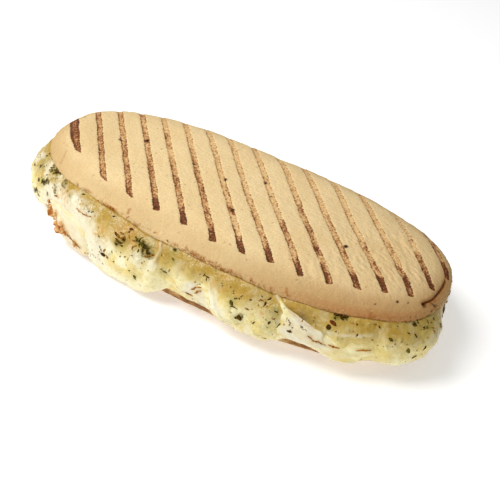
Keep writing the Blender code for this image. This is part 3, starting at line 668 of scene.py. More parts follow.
def slice_end(s, reach, low, ridge, drawn):
    """The outline of a slice's end seen from its side: over the top, out, down and back.

    The lower edge is drawn in by drawn, and the upper corner is raised by ridge.
    """
    first = (INNER_REACH, CHICKEN_TOP)
    last = (INNER_REACH, FILLING_FLOOR)
    if reach < 0:
        inside = reach - INSIDE_ROUNDING
        return spline([first, (inside, CHICKEN_TOP - 0.4), (reach, CHICKEN_MIDDLE),
                       (inside, FILLING_FLOOR + 0.4), last], SLICE_POINTS)
    clear = float(bottom_reach(s, BOTTOM_THICKNESS)) + GAP
    low += (FILLING_FLOOR - low) * float(fall(reach - clear, 2.0, 4.5))
    points = [first, (0.45 * reach, CHICKEN_TOP - 0.3)]
    if ridge > 0.5:
        back = reach - RIDGE_LEAN * ridge / RIDGE_RISE
        points += [(back - RIDGE_THICKNESS, CHICKEN_TOP + 0.8 * ridge),
                   (back - 0.4 * RIDGE_THICKNESS, CHICKEN_TOP + ridge)]
    else:
        points.append((0.85 * reach, CHICKEN_TOP - 2.5))
    drop = CHICKEN_TOP - low
    points += [(reach - 0.15 * drawn, low + 0.5 * drop),
               (reach - 0.3 - 0.75 * drawn, low + 0.15 * drop), (reach - 1.4 - drawn, low)]
    if low < FILLING_FLOOR - 0.5:
        clear += 0.9
        points += [(clear + 0.5, low + 0.5), (clear + 0.2, FILLING_FLOOR - 1.2),
                   (clear - 0.6, FILLING_FLOOR + 0.7)]
    points += [(min(clear, reach - 2.5 - drawn) - 3.0, FILLING_FLOOR + 0.1), last]
    return spline(points, SLICE_POINTS)


def spread_to_edges(count, closeness):
    """Shares from -1 to 1 that crowd towards both ends."""
    even = np.linspace(-1, 1, count)
    inward = 1 - np.abs(even)
    return np.sign(even) * (1 - inward ** 2 * (1 + closeness) / (inward + closeness))


def bread_surface(name, oval, grid, crust, cut_height):
    """A bread half: columns across it, a tip at each end, and the flat cut face."""
    columns, rows = grid
    u = spread_to_edges(columns + 1, 0.06)[1:-1]
    v = spread_to_edges(rows + 1, 0.15)
    x = (u * oval.half_x(u))[:, None] * np.ones(rows + 1)[None, :]
    y = np.where(v < 0, oval.edge_y(x, -1), oval.edge_y(x, 1)) * np.abs(v)
    count = x.size
    index = np.arange(count).reshape(x.shape)
    points = np.stack([x, y, crust(x, y)], -1).reshape(-1, 3)
    points = np.vstack([points, [-LEFT_LENGTH, 0.0, 0.0], [RIGHT_LENGTH, 0.0, 0.0]])
    rim = np.concatenate([[count], index[:, 0], [count + 1], index[::-1, -1]])
    points[rim, 2] = cut_height(oval.walk(points[rim, 0], points[rim, 1]))
    faces = grid_faces(index)
    for tip, column in ((count, index[0]), (count + 1, index[-1])):
        faces += [(tip, int(a), int(b)) for a, b in zip(column[:-1], column[1:])]
    inner = points[rim] * (CUT_SHARE, CUT_SHARE, 1.0)
    inner[:, 2] = cut_height(None)
    inner_index = np.arange(len(rim)) + len(points)
    faces += grid_faces(np.stack([rim, inner_index], -1), closed=True)
    faces.append(inner_index.tolist())
    return Surface(name, np.vstack([points, inner]), faces)


def mark_place(points):
    """The mark nearest to each point, how far from its middle the point lies, and how far along it."""
    offset = points[:, 0] * math.cos(MARK_SLANT) + points[:, 1] * math.sin(MARK_SLANT) - MARK_FIRST
    nearest = np.clip(np.round(offset / MARK_PITCH), 0, MARK_COUNT - 1).astype(int)
    along = points[:, 1] * math.cos(MARK_SLANT) - points[:, 0] * math.sin(MARK_SLANT)
    return nearest, offset - nearest * MARK_PITCH, along


def mark_masks(points, inset, near_ends):
    """How much each point is on a grill mark, how dark the mark is, and the place across it."""
    nearest, signed, along = mark_place(points)
    near_end, slant, burn, fade, bend, tone = (
        np.asarray(values)[nearest]
        for values in (near_ends, MARK_END_SLANTS, MARK_BURNS, MARK_FADES, MARK_BENDS, MARK_TONES))
    from_end = along - near_end
    wedge = np.where(nearest == 0, smooth(from_end, 4.0, 18.0), 0.0)
    signed = signed + 0.3 * noise_at(nearest * 7.0, along / 9, 0)
    signed += FIRST_MARK_SPREAD * wedge + bend * np.clip((from_end - 4.0) / 52.0, -0.1, 1)
    start = from_end - slant * (0.4 * MARK_HALF_WIDTH - signed)
    half_width = MARK_HALF_WIDTH + 0.25 * noise_at(nearest * 5.0, along / 7, 3)
    half_width += 0.8 * FIRST_MARK_SPREAD * wedge
    mark = np.clip(0.5 + (half_width - np.abs(signed)) / 1.2, 0, 1) * smooth(start, -0.6, 0.8)
    mark *= smooth(inset, MARK_FAR_MARGIN - 1.0, MARK_FAR_MARGIN + 1.0)
    faint = (nearest == FAINT_MARK) * smooth(from_end, FAINT_FROM - 0.8, FAINT_FROM + 0.8)
    patch = noise_at(nearest * 3.7, along / 12, signed / 3 + 5, 0.0, 3)
    dark = 0.85 * patch - 0.3 * bell(from_end, 15.0, 4.0) - 0.5 * smooth(from_end, fade - 12, fade + 8)
    dark = 0.24 + np.clip(1 - 3.2 * tone, 0.1, 1) * dark + tone
    dark += 0.95 * burn * fall(from_end, 4.5, 14.0) + 0.3 * wedge - 0.3 * faint
    return mark * (1 - 0.45 * faint), np.clip(dark, 0, 1), np.clip(0.5 + signed / 4, 0, 1)


def top_crust(x, y):
    """Height of the top bread's upper face, without its grill marks."""
    inset = OVAL.inset(x, y)
    dome = TOP_DOME * (1 - np.clip(OVAL.level(x, y), 0, 1) ** 2)
    start = RIM_HEIGHT + (rim_height(OVAL.walk(x, y)) - RIM_HEIGHT) * fall(inset, 0, 8)
    return start + crust_profile(inset, TOP_ROUNDING, TOP_SIDE) + dome


def top_rim(s):
    """Height of the rim with its small nicks; the flat cut face where s is None."""
    if s is None:
        return RIM_HEIGHT
    places = np.stack(OVAL.point(s) + (0 * s,), -1)
    return rim_height(s) + 0.5 * noise_field(places, 3.0, 2) + 0.35 * noise_field(places, 1.1, 5)


def make_bread_top(crust):
    top = bread_surface("bread_top_crust", OVAL, TOP_GRID, top_crust, top_rim)
    p = top.points
    x, y, z = p.T
    s = OVAL.walk(x, y)
    inset = OVAL.inset(x, y)
    ends = [mark_place(np.array([on_surface(top.tree(), pixel)[0]]))[2][0] for pixel in MARK_NEAR_ENDS]
    mark, scorch, across = mark_masks(p, inset, ends)
    upper = z > RIM_HEIGHT - 1.5
    mark *= upper
    top.mask("mark", mark)
    top.mask("scorch", scorch)
    top.mask("across", across)
    # Darker towards the rim, more so at the right and at the left end, and darker over the whole top
    # towards both ends: partly browning of the crust, partly painted shade where the light falls off.
    browned = 0.42 + 0.58 * smooth(x, -10, 85) + 0.4 * fall(x, -115, -70)
    top.mask("side", browned * fall(inset, 1, 16))
    top.mask("side", 0.28 * smooth(x, 10, 110) + 0.24 * fall(x, -110, -50))
    # Rosy brown at the right front: a narrow band at the rim and a weaker, wider one further in, partly
    # toasting, partly painted shade where the light falls off.
    top.mask("rosy", bell(s, 100, 45) * fall(inset, 0.2, 4.5))
    top.mask("rosy", 0.32 * bell(s, 108, 42) * fall(inset, 4, 18))
    ragged = 0.35 * noise_field(p, 1.6, 3)
    top.spots("char", CHAR_DOTS, ragged)
    # Painted shade in brown below the right crease.
    top.spots("toast", CREASE_SHADE_SPOTS, ragged, 0.8)
    crease = top.away_from(RIGHT_CREASE)
    left_crease = top.away_from(LEFT_CREASE)
    toasted = top.away_from(TOASTED_RIM)
    curls = top.away_from(RIM_CURLS)
    top.mask("toast", 0.5 * fall(crease + ragged, 0.8, 3))
    top.mask("toast", fall(crease + 0.8 * ragged, 0.6, 1.3))
    top.mask("char", 0.7 * fall(crease + 0.6 * ragged, 0.1, 0.7))
    top.mask("char", 0.8 * fall(top.away_from(RIGHT_LIP) + 0.6 * ragged, 0.2, 0.8))
    crumbly = smooth(noise_field(p, 1.5, 14), -0.1, 0.35)
    top.mask("toast", fall(toasted + 2.2 * ragged, 0.8, 2.6) * crumbly)
    top.mask("toast", fall(curls, 0.8, 2))
    top.mask("toast", 0.35 * fall(left_crease, 0.2, 0.9))
    top.mask("toast", 0.7 * smooth(noise_field(p, 5, 9), 0.1, 0.5) * fall(inset, 0.1, 1))
    for spike in RIM_SPIKES:
        top.mask("toast", 0.7 * fall(top.away_from(spike) + 0.5 * ragged, 0.3, 1.1))

    top.spots("wrinkled", WRINKLED)
    wrinkled = np.maximum(top.masks.pop("wrinkled"), 0.12)
    relief = 0.45 * noise_field(p, 17, 1) + 0.16 * noise_field(p, 5, 6) + 0.07 * noise_field(p, 1.5, 8)
    relief += 0.6 * wrinkled * noise_at((x - 0.7 * y) / 6, (0.7 * x + y) / 1.5, z / 6, 4)
    relief *= smooth(inset, 0.2, 3)
    relief += 0.35 * noise_field(p, 1.6, 17) * fall(inset, 0.8, 2.5)
    relief -= MARK_DEPTH * smooth(mark, 0.1, 0.9) * smooth(inset, 2, 6)
    relief -= 1.2 * bell(crease, 0, 0.8) + 0.4 * bell(left_crease, 0, 0.7)
    rough = np.abs(noise_field(p, 1.3, 11))
    relief += rough * (0.7 * fall(toasted, 0.8, 2.4) + 0.6 * fall(curls, 0.5, 1.8))
    top.raise_by(relief * upper)
    top.finish(crust, "bread_top")
    return top


def bottom_crust(x, y):
    return BOTTOM_THICKNESS - crust_profile(BOTTOM_OVAL.inset(x, y), BOTTOM_ROUNDING, BOTTOM_THICKNESS)


def bottom_rim(s):
    return BOTTOM_THICKNESS


def make_bread_bottom(crust):
    bottom = bread_surface("bread_bottom_crust", BOTTOM_OVAL, BOTTOM_GRID, bottom_crust, bottom_rim)
    p = bottom.points
    inset = BOTTOM_OVAL.inset(p[:, 0], p[:, 1])
    lower = p[:, 2] < BOTTOM_THICKNESS - 0.01
    nearest, signed, along = mark_place(p)
    mark = np.clip(0.5 + (MARK_HALF_WIDTH - np.abs(signed)) / 1.2, 0, 1)
    mark *= smooth(inset, MARK_MARGIN - 3.0, MARK_MARGIN) * lower
    bottom.mask("mark", mark)
    bottom.mask("scorch", 0.5 + 0.55 * noise_at(nearest * 3.7, along / 11, 8, 0.0, 3))
    bottom.mask("side", fall(inset, 0.5, 8))
    turn = Matrix.Rotation(math.radians(BOTTOM_TURN), 3, "Z")
    bottom.points = p = p @ np.array(turn).T + (*BOTTOM_SHIFT, 0.0)
    ragged = 0.5 * noise_field(p, 3, 3, 3)
    bottom.mask("toast", 0.6 * smooth(noise_field(p, 6, 23, 4), -0.15, 0.75) * fall(inset, 3, 9))
    bottom.spots("toast", BOTTOM_TOASTED, ragged, 0.75)
    bottom.spots("char", BOTTOM_TOASTED, 2 * ragged, 0.5, 0.5)
    relief = 0.25 * noise_field(p, 6, 2) + 0.1 * noise_field(p, 1.8, 4)
    relief *= smooth(inset, 0.3, 2) * fall(inset, 6, 9)
    bottom.raise_by((relief - MARK_DEPTH * smooth(mark, 0.1, 0.9)) * lower)
    bottom.finish(crust, "bread_bottom")


def make_cheese_surface():
    points = []
    for k in range(CHEESE_STATIONS):
        s = OVAL.perimeter * k / CHEESE_STATIONS
        reach, z = cheese_section(s).T
        outer = np.arange(CHEESE_POINTS) <= int(np.argmin(z))
        uneven = FACE_UNEVEN * np.array([noise.noise(Vector((s / 9, h / 7, 3.1))) for h in z])
        x, y = OVAL.point(s, reach + np.clip((reach - 0.5) / 3, 0, 1) * outer * (swell(s, z) + uneven))
        points.append(np.stack([x, y, z], -1))
    index = np.arange(CHEESE_STATIONS * CHEESE_POINTS).reshape(CHEESE_STATIONS, CHEESE_POINTS)
    faces = grid_faces(index, closed=True)
    faces += [index[::-1, 0].tolist(), index[:, -1].tolist()]
    return Surface("melted_cheese", np.vstack(points), faces)


def slice_loop_half(name, end, share, s_mid, half_width, reach, low):
    """Half a loop of a slice at a share of its width: the back's (end 1) or the front's (end -1)."""
    squareness = FRONT_SQUARENESS if end < 0 else BACK_SQUARENESS
    round_off = 1 - math.sqrt(max(0.0, 1 - abs(share) ** squareness))
    half_width += SLICE_BURIED
    s = s_mid - end * share * half_width
    ridged = name == RIDGED_SLICE and end < 0
    corner = (RIDGE_CORNER if ridged and share < 0 else SLICE_CORNER) * round_off
    drawn = rise = 0.0
    if name == "chicken_left" and end < 0:
        taper = LEFT_SLICE_TAPER * float(smooth(-share, -0.4, 0.9))
        corner += taper
        low += taper
    if ridged:
        drawn = float(fall(share, -0.5, 0.4) + smooth(share, 0.55, 0.9))
        low += (FILLING_FLOOR - low) * drawn
        rise = RIDGE_RISE * max(0.0, 1 - (share + 1) * half_width / RIDGE_RUN)
    far = reach if reach < 0 else reach - corner
    out, z = slice_end(s, far, low, rise, RIGHT_SLICE_DRAW * drawn)[::-end].T
    if rise < 0.5:
        z = CHICKEN_MIDDLE + (z - CHICKEN_MIDDLE) * (1 - 0.6 * round_off)
    if end > 0 and reach > 0:
        wave = 2.2 * noise.noise(Vector((s / 7, 0.4, 6.0)))
        z = z + wave * smooth(z, CHICKEN_MIDDLE, CHICKEN_TOP) * smooth(out, -6.0, 0.0)
    return np.stack([*OVAL.point(s, out), z], -1)


def make_slice_surface(name, front, back):
    """A chicken slice: upright loops from its front end to its back, one beside the other."""
    loops = [slice_loop_half(name, end, share, *form)
             for share in -np.cos(np.linspace(0, math.pi, SLICE_STATIONS))
             for end, form in ((1, back), (-1, front))]
    index = np.arange(len(loops) * SLICE_POINTS).reshape(SLICE_STATIONS, -1)
    faces = grid_faces(np.hstack([index, index[:, :1]]))
    for ring in (index[0, ::-1], index[-1]):
        faces += [ring[:SLICE_POINTS].tolist(), ring[SLICE_POINTS:].tolist()]
        faces.append([int(ring[i]) for i in (0, SLICE_POINTS - 1, SLICE_POINTS, -1)])
    return Surface(name + "_slice", np.vstack(loops), faces)


def paint_filling(surface, seed):
    """Whiter patches, partly painted highlights, and greener and toasted patches; gives the noise of their
    edges and the rise of the folds.
    """
    p = surface.points
    ragged = 0.4 * noise_field(p, 3.2, seed, 3) + 0.25 * noise_field(p, 1.1, seed + 9)
    for name, patches in (("white", WHITE_AND_HIGHLIGHT_PATCHES), ("green", GREEN_PATCHES),
                          ("leaf", LEAF_PATCHES), ("toast", TOASTED_PATCHES)):
        surface.spots(name, patches, ragged, size=1.15)
    elsewhere = 1 - 0.75 * smooth(0.35 * p[:, 0] - p[:, 1], 5, 25)
    for name, strength, size, shift, low, high in NOISE_PATCHES:
        patches = smooth(noise_field(p, size, seed + shift, 3), low, high)
        surface.mask(name, strength * elsewhere * patches)
    for path, half_width in MEAT_AREAS:
        away = surface.away_from(path) / half_width
        surface.mask("meat", 0.9 * fall(away + 0.8 * ragged, 0.6, 1.2))
    for path in SEARED_PATHS:
        surface.mask("toast", 0.45 * fall(surface.away_from(path) + 1.2 * ragged, 0.5, 2))
    rise = np.zeros(len(p))
    for path, height, half_width, *tints in FOLDS:
        share = bell(surface.away_from(path), 0, half_width)
        rise += height * share * (share > 0.05)
        for tint in tints:
            surface.mask(tint, 0.8 * share * (0.8 + ragged))
    return ragged, rise


def make_cheese():
    cheese = make_cheese_surface()
    ragged, folds = paint_filling(cheese, 30)
    p = cheese.points
    s = OVAL.walk(p[:, 0], p[:, 1])
    depth = rim_height(s) - p[:, 2]
    # Painted shade: the cheese is darkened towards olive just under the bread's rim, where the rim shades
    # it.
    cheese.mask("under", fall(depth, 2.5, 14) * (0.95 + 0.6 * ragged))
    cheese.mask("white", 0.75 * fall(p[:, 2] + 6 * ragged, 7, 17))
    relief = 0.55 * noise_field(p, 9, 40) + 0.35 * noise_field(p, 4.5, 41) + 0.12 * noise_field(p, 1.7, 42)
    relief += 0.5 * sum(bell(s, *curd) for curd in CURDS) * np.abs(noise_field(p, 3, 43))
    outside = smooth(-OVAL.inset(p[:, 0], p[:, 1]), -1, 2)
    cheese.raise_by(relief * outside + folds)
    cheese.finish(cheese_material(), "cheese")
    return cheese


def make_slice(name, ends, seed, cheese_tree, meat):
    piece = make_slice_surface(name, *ends)
    ragged, folds = paint_filling(piece, seed)
    p = piece.points
    x, y, z = p.T
    near_cheese = np.array([cheese_tree.find_nearest(Vector(q), CHEESE_SEARCH)[3] or CHEESE_SEARCH
                            for q in p])
    hidden = 0.35 if name == "chicken_left" else 1.0
    smear = 2.0 + 3.5 * smooth(y, 20, 40)
    piece.mask("cheesy", hidden * fall((near_cheese + 1.6 * ragged) / smear, 0.1, 1))
    if name == RIDGED_SLICE:
        piece.mask("cheesy", 0.85 * smooth(OVAL.walk(x, y) + 6 * ragged, 66, 82))
    outside = smooth(-OVAL.inset(x, y), 0, 2)
    piece.mask("toast", 0.9 * fall(z, 6, 11) * outside * smooth(0.4 + ragged, 0.3, 0.7))
    piece.spots("toast", [lump[:3] for lump in LUMPS], ragged, 0.95, 2.5)
    relief = 0.7 * noise_field(p, 9, seed + 5) + 0.3 * noise_field(p, 3, seed + 6)
    relief += 0.3 * noise_at(x / 14, y / 14, z / 1.7, seed + 7)
    piece.raise_by((relief - 0.2) * outside + folds)
    piece.finish(meat, name)
    return piece


def nearest_shown(tree, pixel):
    """The place that shows at a pixel, or the surface's nearest point where the ray passes it."""
    place, outward = on_surface(tree, pixel)
    if place is None:
        place, outward = tree.find_nearest(CAMERA_PLACE + pixel_ray(pixel) * CAMERA_DISTANCE)[:2]
    return np.array(place), np.array(outward)


def make_lumps(filling):
    """The browned lumps at the edge of the left slice."""
    tree = joined_tree(filling)
    turn = np.linspace(0, 2 * math.pi, LUMP_COLUMNS, endpoint=False)
    tilt = np.linspace(0.12, math.pi - 0.12, LUMP_ROWS)
    unit = np.stack([np.outer(np.sin(tilt), np.cos(turn)), np.outer(np.sin(tilt), np.sin(turn)),
                     np.outer(np.cos(tilt), np.ones(LUMP_COLUMNS))], -1).reshape(-1, 3)
    points = []
    faces = []
    for x, y, radius, out in LUMPS:
        place, outward = nearest_shown(tree, (x, y))
        size = radius * (1.05 + 0.4 * noise_field(unit * 1.3, 1.0, x, 1))
        index = np.arange(len(unit)).reshape(LUMP_ROWS, LUMP_COLUMNS).T + len(points)
        points += (unit * size[:, None] + place + outward * out).tolist()
        faces += grid_faces(index[:, ::-1], closed=True)
        faces += [index[:, 0].tolist(), index[::-1, -1].tolist()]
    Surface("browned_lumps", points, faces).finish(herb_material("lump"), "chicken_left")


def flake_shape(place, along, outward, length, width, draw):
    """A curled chip of dried herb, pointed at its ends: its points and faces."""
    across = outward.cross(along).normalized()
    points = []
    bend = draw.uniform(-0.12, 0.12)
    for i in range(FLAKE_STEPS):
        t = i / (FLAKE_STEPS - 1)
        half = width / 2 * math.sin(math.pi * min(0.95, max(0.06, t))) ** 0.6
        half *= draw.uniform(0.8, 1.15)
        middle = place + along * ((t - 0.5) * length) + across * (bend * length * (4 * t * (1 - t)))
        middle = middle + outward * (0.12 + 0.18 * math.sin(2.5 * t + bend * 20))
        points += [middle + across * (side * half) + outward * lift for side, lift in FLAKE_RING]
    index = np.arange(4 * FLAKE_STEPS).reshape(FLAKE_STEPS, 4)
    faces = [(int(a), int(b), int(d), int(c)) for low, high in zip(index, index[1:])
             for a, b, c, d in zip(low, np.roll(low, -1), high, np.roll(high, -1))]
    return points, faces + [index[0, ::-1].tolist(), index[-1].tolist()]


def drawn_pixel(start, end, t, spread, draw):
    """A pixel at share t of the way from start to end, moved by up to spread each way."""
    return [a + t * (b - a) + draw.uniform(-spread, spread) for a, b in zip(start, end)]


def any_direction(draw):
    return Vector([draw.uniform(-1, 1) for _ in range(3)])


def strewn(tree, draw, rows, largest, narrow, kinds):
    """Flakes strewn along rows, as herb_places gives them; narrow is their width to length."""
    found = []
    for start, end, count, spread in rows:
        for _ in range(count):
            place, outward = on_surface(tree, drawn_pixel(start, end, draw.random(), spread, draw))
            size = draw.uniform(0.5, largest)
            kind = draw.choice(kinds) if len(kinds) > 1 else kinds[0]
            found.append((place, any_direction(draw), outward, size, narrow * size, kind))
    return found


def herb_places(tree, draw):
    """Every flake as place, direction, outward, length, width, kind; the place may be missing."""
    found = []
    for x, y, length, width, turn, *kind in HERBS:
        angle = math.radians(turn)
        along = CAMERA_RIGHT * math.cos(angle) - CAMERA_UP * math.sin(angle)
        place, outward = on_surface(tree, (x, y))
        found.append((place, along, outward, length, width, *(kind or ["dark"])))
    found += strewn(tree, draw, SPECKS, 1.1, 0.6, ("dark", "brown", "brown", "green"))
    found += strewn(tree, draw, CRUMBS, 1.3, 0.7, ("crumb",))
    for _ in range(SCATTERED):
        s = draw.uniform(*SCATTER_STRETCH)
        height = draw.uniform(*SCATTER_HEIGHTS)
        start, inside = (Vector((*OVAL.point(s, reach), height)) for reach in SCATTER_REACHES)
        place, outward, _, _ = tree.ray_cast(start, inside - start)
        size = draw.uniform(0.9, 3.2)
        kind = draw.choice(("dark", "dark", "brown", "green", "green", "olive"))
        along = any_direction(draw)
        if place is not None and (place - start).length < SCATTER_FARTHEST:
            found.append((place, along, outward, size, size * draw.uniform(0.3, 0.6), kind))
    return found


def sear_places(tree, draw):
    """The chips that make up the seared strokes, as herb_places gives them."""
    found = []
    for path in SEARED_PATHS:
        for start, end in zip(path[:-1], path[1:]):
            across, down = np.subtract(end, start)
            along = CAMERA_RIGHT * across - CAMERA_UP * down
            steps = max(1, round(math.hypot(across, down) / SEAR_STEP))
            for i in range(steps):
                pixel = drawn_pixel(start, end, (i + draw.random()) / steps, 0.5, draw)
                place, outward = on_surface(tree, pixel)
                length = draw.uniform(1.6, 3.0)
                if place is not None:
                    found.append((place, along, outward, length, draw.uniform(0.5, 1.0), "sear"))
    return found


def make_herbs(filling, bread_top):
    """The dried herbs on the filling and the crumbs of the rim, one piece for each kind."""
    tree = joined_tree(filling + [bread_top])
    draw = random.Random(SCATTER_SEED)
    kinds = {kind: ([], []) for kind in HERB_COLOURS if kind != "lump"}
    for place, along, outward, length, width, kind in herb_places(tree, draw) + sear_places(tree, draw):
        if place is None:
            continue
        along = along - outward * along.dot(outward)
        if along.length < 1e-3:
            continue
        shape, sides = flake_shape(place, along.normalized(), outward, length, width, draw)
        points, faces = kinds[kind]
        faces += [[i + len(points) for i in side] for side in sides]
        points += shape
    for kind, (points, faces) in kinds.items():
        herbs = Surface("herbs_" + kind, points, faces)
        if kind == "crumb":
            herbs.finish(herb_material(kind))
        else:
            herbs.finish(herb_material(kind), "cheese")


class Paint:
    """A material's node tree, built by short calls. Sizes are in millimetres."""

    def __init__(self, name):
        self.material = bpy.data.materials.new(name)
        self.material.use_nodes = True
        self.tree = self.material.node_tree
        self.shader = self.tree.nodes["Principled BSDF"]
        self.place = self.node("TexCoord").outputs["Object"]

    def link(self, value, socket):
        """Join an output to the socket, or set the socket to a plain value."""
        if isinstance(value, bpy.types.NodeSocket):
            self.tree.links.new(value, socket)
        elif isinstance(value, tuple):
            socket.default_value = (*value, 1.0) if len(socket.default_value) == 4 else value
        else:
            socket.default_value = value

    def node(self, kind, inputs=(), **settings):
        """A new node; inputs gives the name or number of a socket and what goes into it."""
        node = self.tree.nodes.new("ShaderNode" + kind)
        for name, value in settings.items():
            setattr(node, name, value)
        for socket, value in dict(inputs).items():
            self.link(value, node.inputs[socket])
        return node

    def noise(self, size, detail=2.0, stretch=(1.0, 1.0, 1.0), roughness=0.5):
        """Noise from 0 to 1 with features of this size."""
        scale = tuple(1000 / size / part for part in stretch)
        place = self.node("Mapping", {"Vector": self.place, "Scale": scale}).outputs["Vector"]
        return self.node("TexNoise", {"Vector": place, "Scale": 1.0, "Detail": detail,
                                      "Roughness": roughness}).outputs["Fac"]

    def specks(self, size, share, shift, strength):
        """Small scattered specks; share of the cells of this size hold one."""
        place = self.node("Mapping", {"Vector": self.place, "Scale": (1000 / size,) * 3,
                                      "Location": (shift,) * 3}).outputs["Vector"]
        cells = self.node("TexVoronoi", {"Vector": place, "Scale": 1.0})
        drawn = self.node("SeparateColor", {"Color": cells.outputs["Color"]})
        held = self.maths("LESS_THAN", drawn.outputs["Red"], share)
        return self.times(held, self.ramp(cells.outputs["Distance"], 0.16, 0.3, strength, 0.0))

    def mask(self, name, strength=1.0):
        """A mask of the surface times a strength."""
        return self.times(self.node("Attribute", attribute_name=name).outputs["Fac"], strength)

    def maths(self, operation, a, b):
        return self.node("Math", {0: a, 1: b}, operation=operation).outputs[0]

    def times(self, a, b):
        return self.maths("MULTIPLY", a, b)

    def plus(self, a, b):
        return self.maths("ADD", a, b)

    def ramp(self, value, low, high, to_low=0.0, to_high=1.0):
        """An S curve from low to high."""
        sockets = {"Value": value, "From Min": low, "From Max": high, "To Min": to_low, "To Max": to_high}
        return self.node("MapRange", sockets, interpolation_type="SMOOTHSTEP").outputs["Result"]

    def layers(self, colour, *over):
        """Lay colours over the first one: pairs of how much each covers, and the colour."""
        for share, tint in over:
            colour = self.node("Mix", {0: share, 6: colour, 7: tint}, data_type="RGBA").outputs[2]
        return colour

    def bump(self, *heights):
        """Bumps from pairs of a height output and a depth in millimetres."""
        under = {}
        for height, depth in heights:
            node = self.node("Bump", {"Distance": depth * MM, "Height": height, **under})
            under = {"Normal": node.outputs["Normal"]}
        self.link(under["Normal"], self.shader.inputs["Normal"])

    def done(self, colour, **settings):
        for name, value in dict(settings, Base_Color=colour, Subsurface_Scale=MM).items():
            self.link(value, self.shader.inputs[name.replace("_", " ")])
        return self.material


BREAD_PALE = srgb(243, 216, 164)
BREAD_TAN = srgb(240, 210, 156)
# Browner crust of the sides, also used for grain and for painted shade.
BREAD_SIDE_TONE_AND_SHADE = srgb(190, 153, 97)
BREAD_ROSY_AND_SHADE = srgb(180, 114, 62)
# Rosy brown of the right front, partly toasting, partly painted shade.
MARK_FLECK = srgb(234, 200, 144)
MARK_LIGHT = srgb(210, 160, 102)
MARK_DARK = srgb(120, 56, 26)
MARK_CHAR = srgb(62, 24, 4)
TOAST = srgb(158, 94, 34)
CRUMB_PALE = srgb(246, 226, 176)
CHEESE_PALE = srgb(247, 237, 182)
CHEESE_YELLOW = srgb(233, 211, 128)
# Olive of the cheese: its own tone in the random mottle, and the painted shade under the bread's rim.
CHEESE_OLIVE_AND_RIM_SHADE = srgb(180, 144, 50)
# White of curds, also used for the painted highlights on the cheese.
CURD_WHITE_AND_HIGHLIGHT = srgb(248, 243, 214)
HERB_GREEN = srgb(162, 154, 84)
LEAF = srgb(50, 36, 2)
LEAF_EDGE = srgb(128, 114, 52)
HERB_BROWN = srgb(124, 80, 26)
CHEESE_TOAST = srgb(204, 152, 60)
MEAT_CREAM = srgb(235, 219, 174)
MEAT_WHITE = srgb(235, 226, 196)
HERB_COLOURS = {
    "dark": (srgb(46, 28, 0), srgb(94, 66, 12)),
    "brown": (srgb(112, 66, 12), srgb(172, 122, 52)),
    "green": (srgb(58, 50, 4), srgb(108, 94, 26)),
    "olive": (srgb(88, 72, 20), srgb(142, 122, 54)),
    "rust": (srgb(88, 38, 10), srgb(124, 64, 24)),
    "sear": (srgb(132, 70, 12), srgb(200, 136, 58)),
    "crumb": (srgb(150, 88, 30), srgb(228, 182, 114)),
    "lump": (srgb(158, 88, 34), srgb(230, 184, 122)),
}


def bread_material():
    paint = Paint("crust")
    grain = paint.noise(0.9, 3.0)
    mottle = paint.noise(1.9, 4.0, roughness=0.75)
    fine = paint.plus(paint.noise(0.9, 3.0, roughness=0.7), -0.5)
    across = paint.mask("across")
    edges = paint.plus(paint.ramp(across, 0.12, 0.38, 0.38, 0.0), paint.ramp(across, 0.72, 0.9, 0.0, 0.26))
    uneven = paint.plus(paint.times(paint.plus(mottle, -0.5), 2.0), paint.times(fine, 2.8))
    scorch = paint.plus(paint.plus(paint.mask("scorch"), uneven), edges)
    mark = paint.layers(
        MARK_FLECK, (paint.ramp(scorch, -0.15, 0.2), MARK_LIGHT),
        (paint.ramp(scorch, 0.25, 0.75), MARK_DARK), (paint.ramp(scorch, 0.9, 1.3), MARK_CHAR))
    on_mark = paint.ramp(paint.plus(paint.mask("mark"), paint.times(fine, 1.5)), 0.36, 0.6, 0.0, 0.95)
    colour = paint.layers(
        BREAD_PALE, (paint.ramp(paint.noise(26.0, 3.0), 0.35, 0.65), BREAD_TAN),
        # The side and rosy masks lay browning of the crust and painted shade where the light falls off.
        (paint.mask("side", 0.9), BREAD_SIDE_TONE_AND_SHADE), (paint.mask("rosy", 0.7), BREAD_ROSY_AND_SHADE),
        (paint.ramp(grain, 0.32, 0.7, 0.0, 0.22), BREAD_SIDE_TONE_AND_SHADE), (on_mark, mark),
        (paint.mask("toast", paint.ramp(mottle, 0.25, 0.6, 0.45, 1.0)), TOAST),
        (paint.mask("char"), MARK_CHAR),
        (paint.specks(1.3, 0.3, 3.0, 0.2), CRUMB_PALE), (paint.specks(3.0, 0.12, 8.0, 0.3), TOAST))
    streaks = paint.noise(1.5, 3.0, stretch=(2.5, 0.6, 1.0), roughness=0.6)
    paint.bump((paint.noise(2.4, 4.0, roughness=0.6), 0.5), (streaks, 0.4), (grain, 0.2))
    return paint.done(colour, Roughness=0.62, Specular_IOR_Level=0.06, Subsurface_Weight=0.04,
                      Subsurface_Radius=(3.0, 1.6, 0.8))


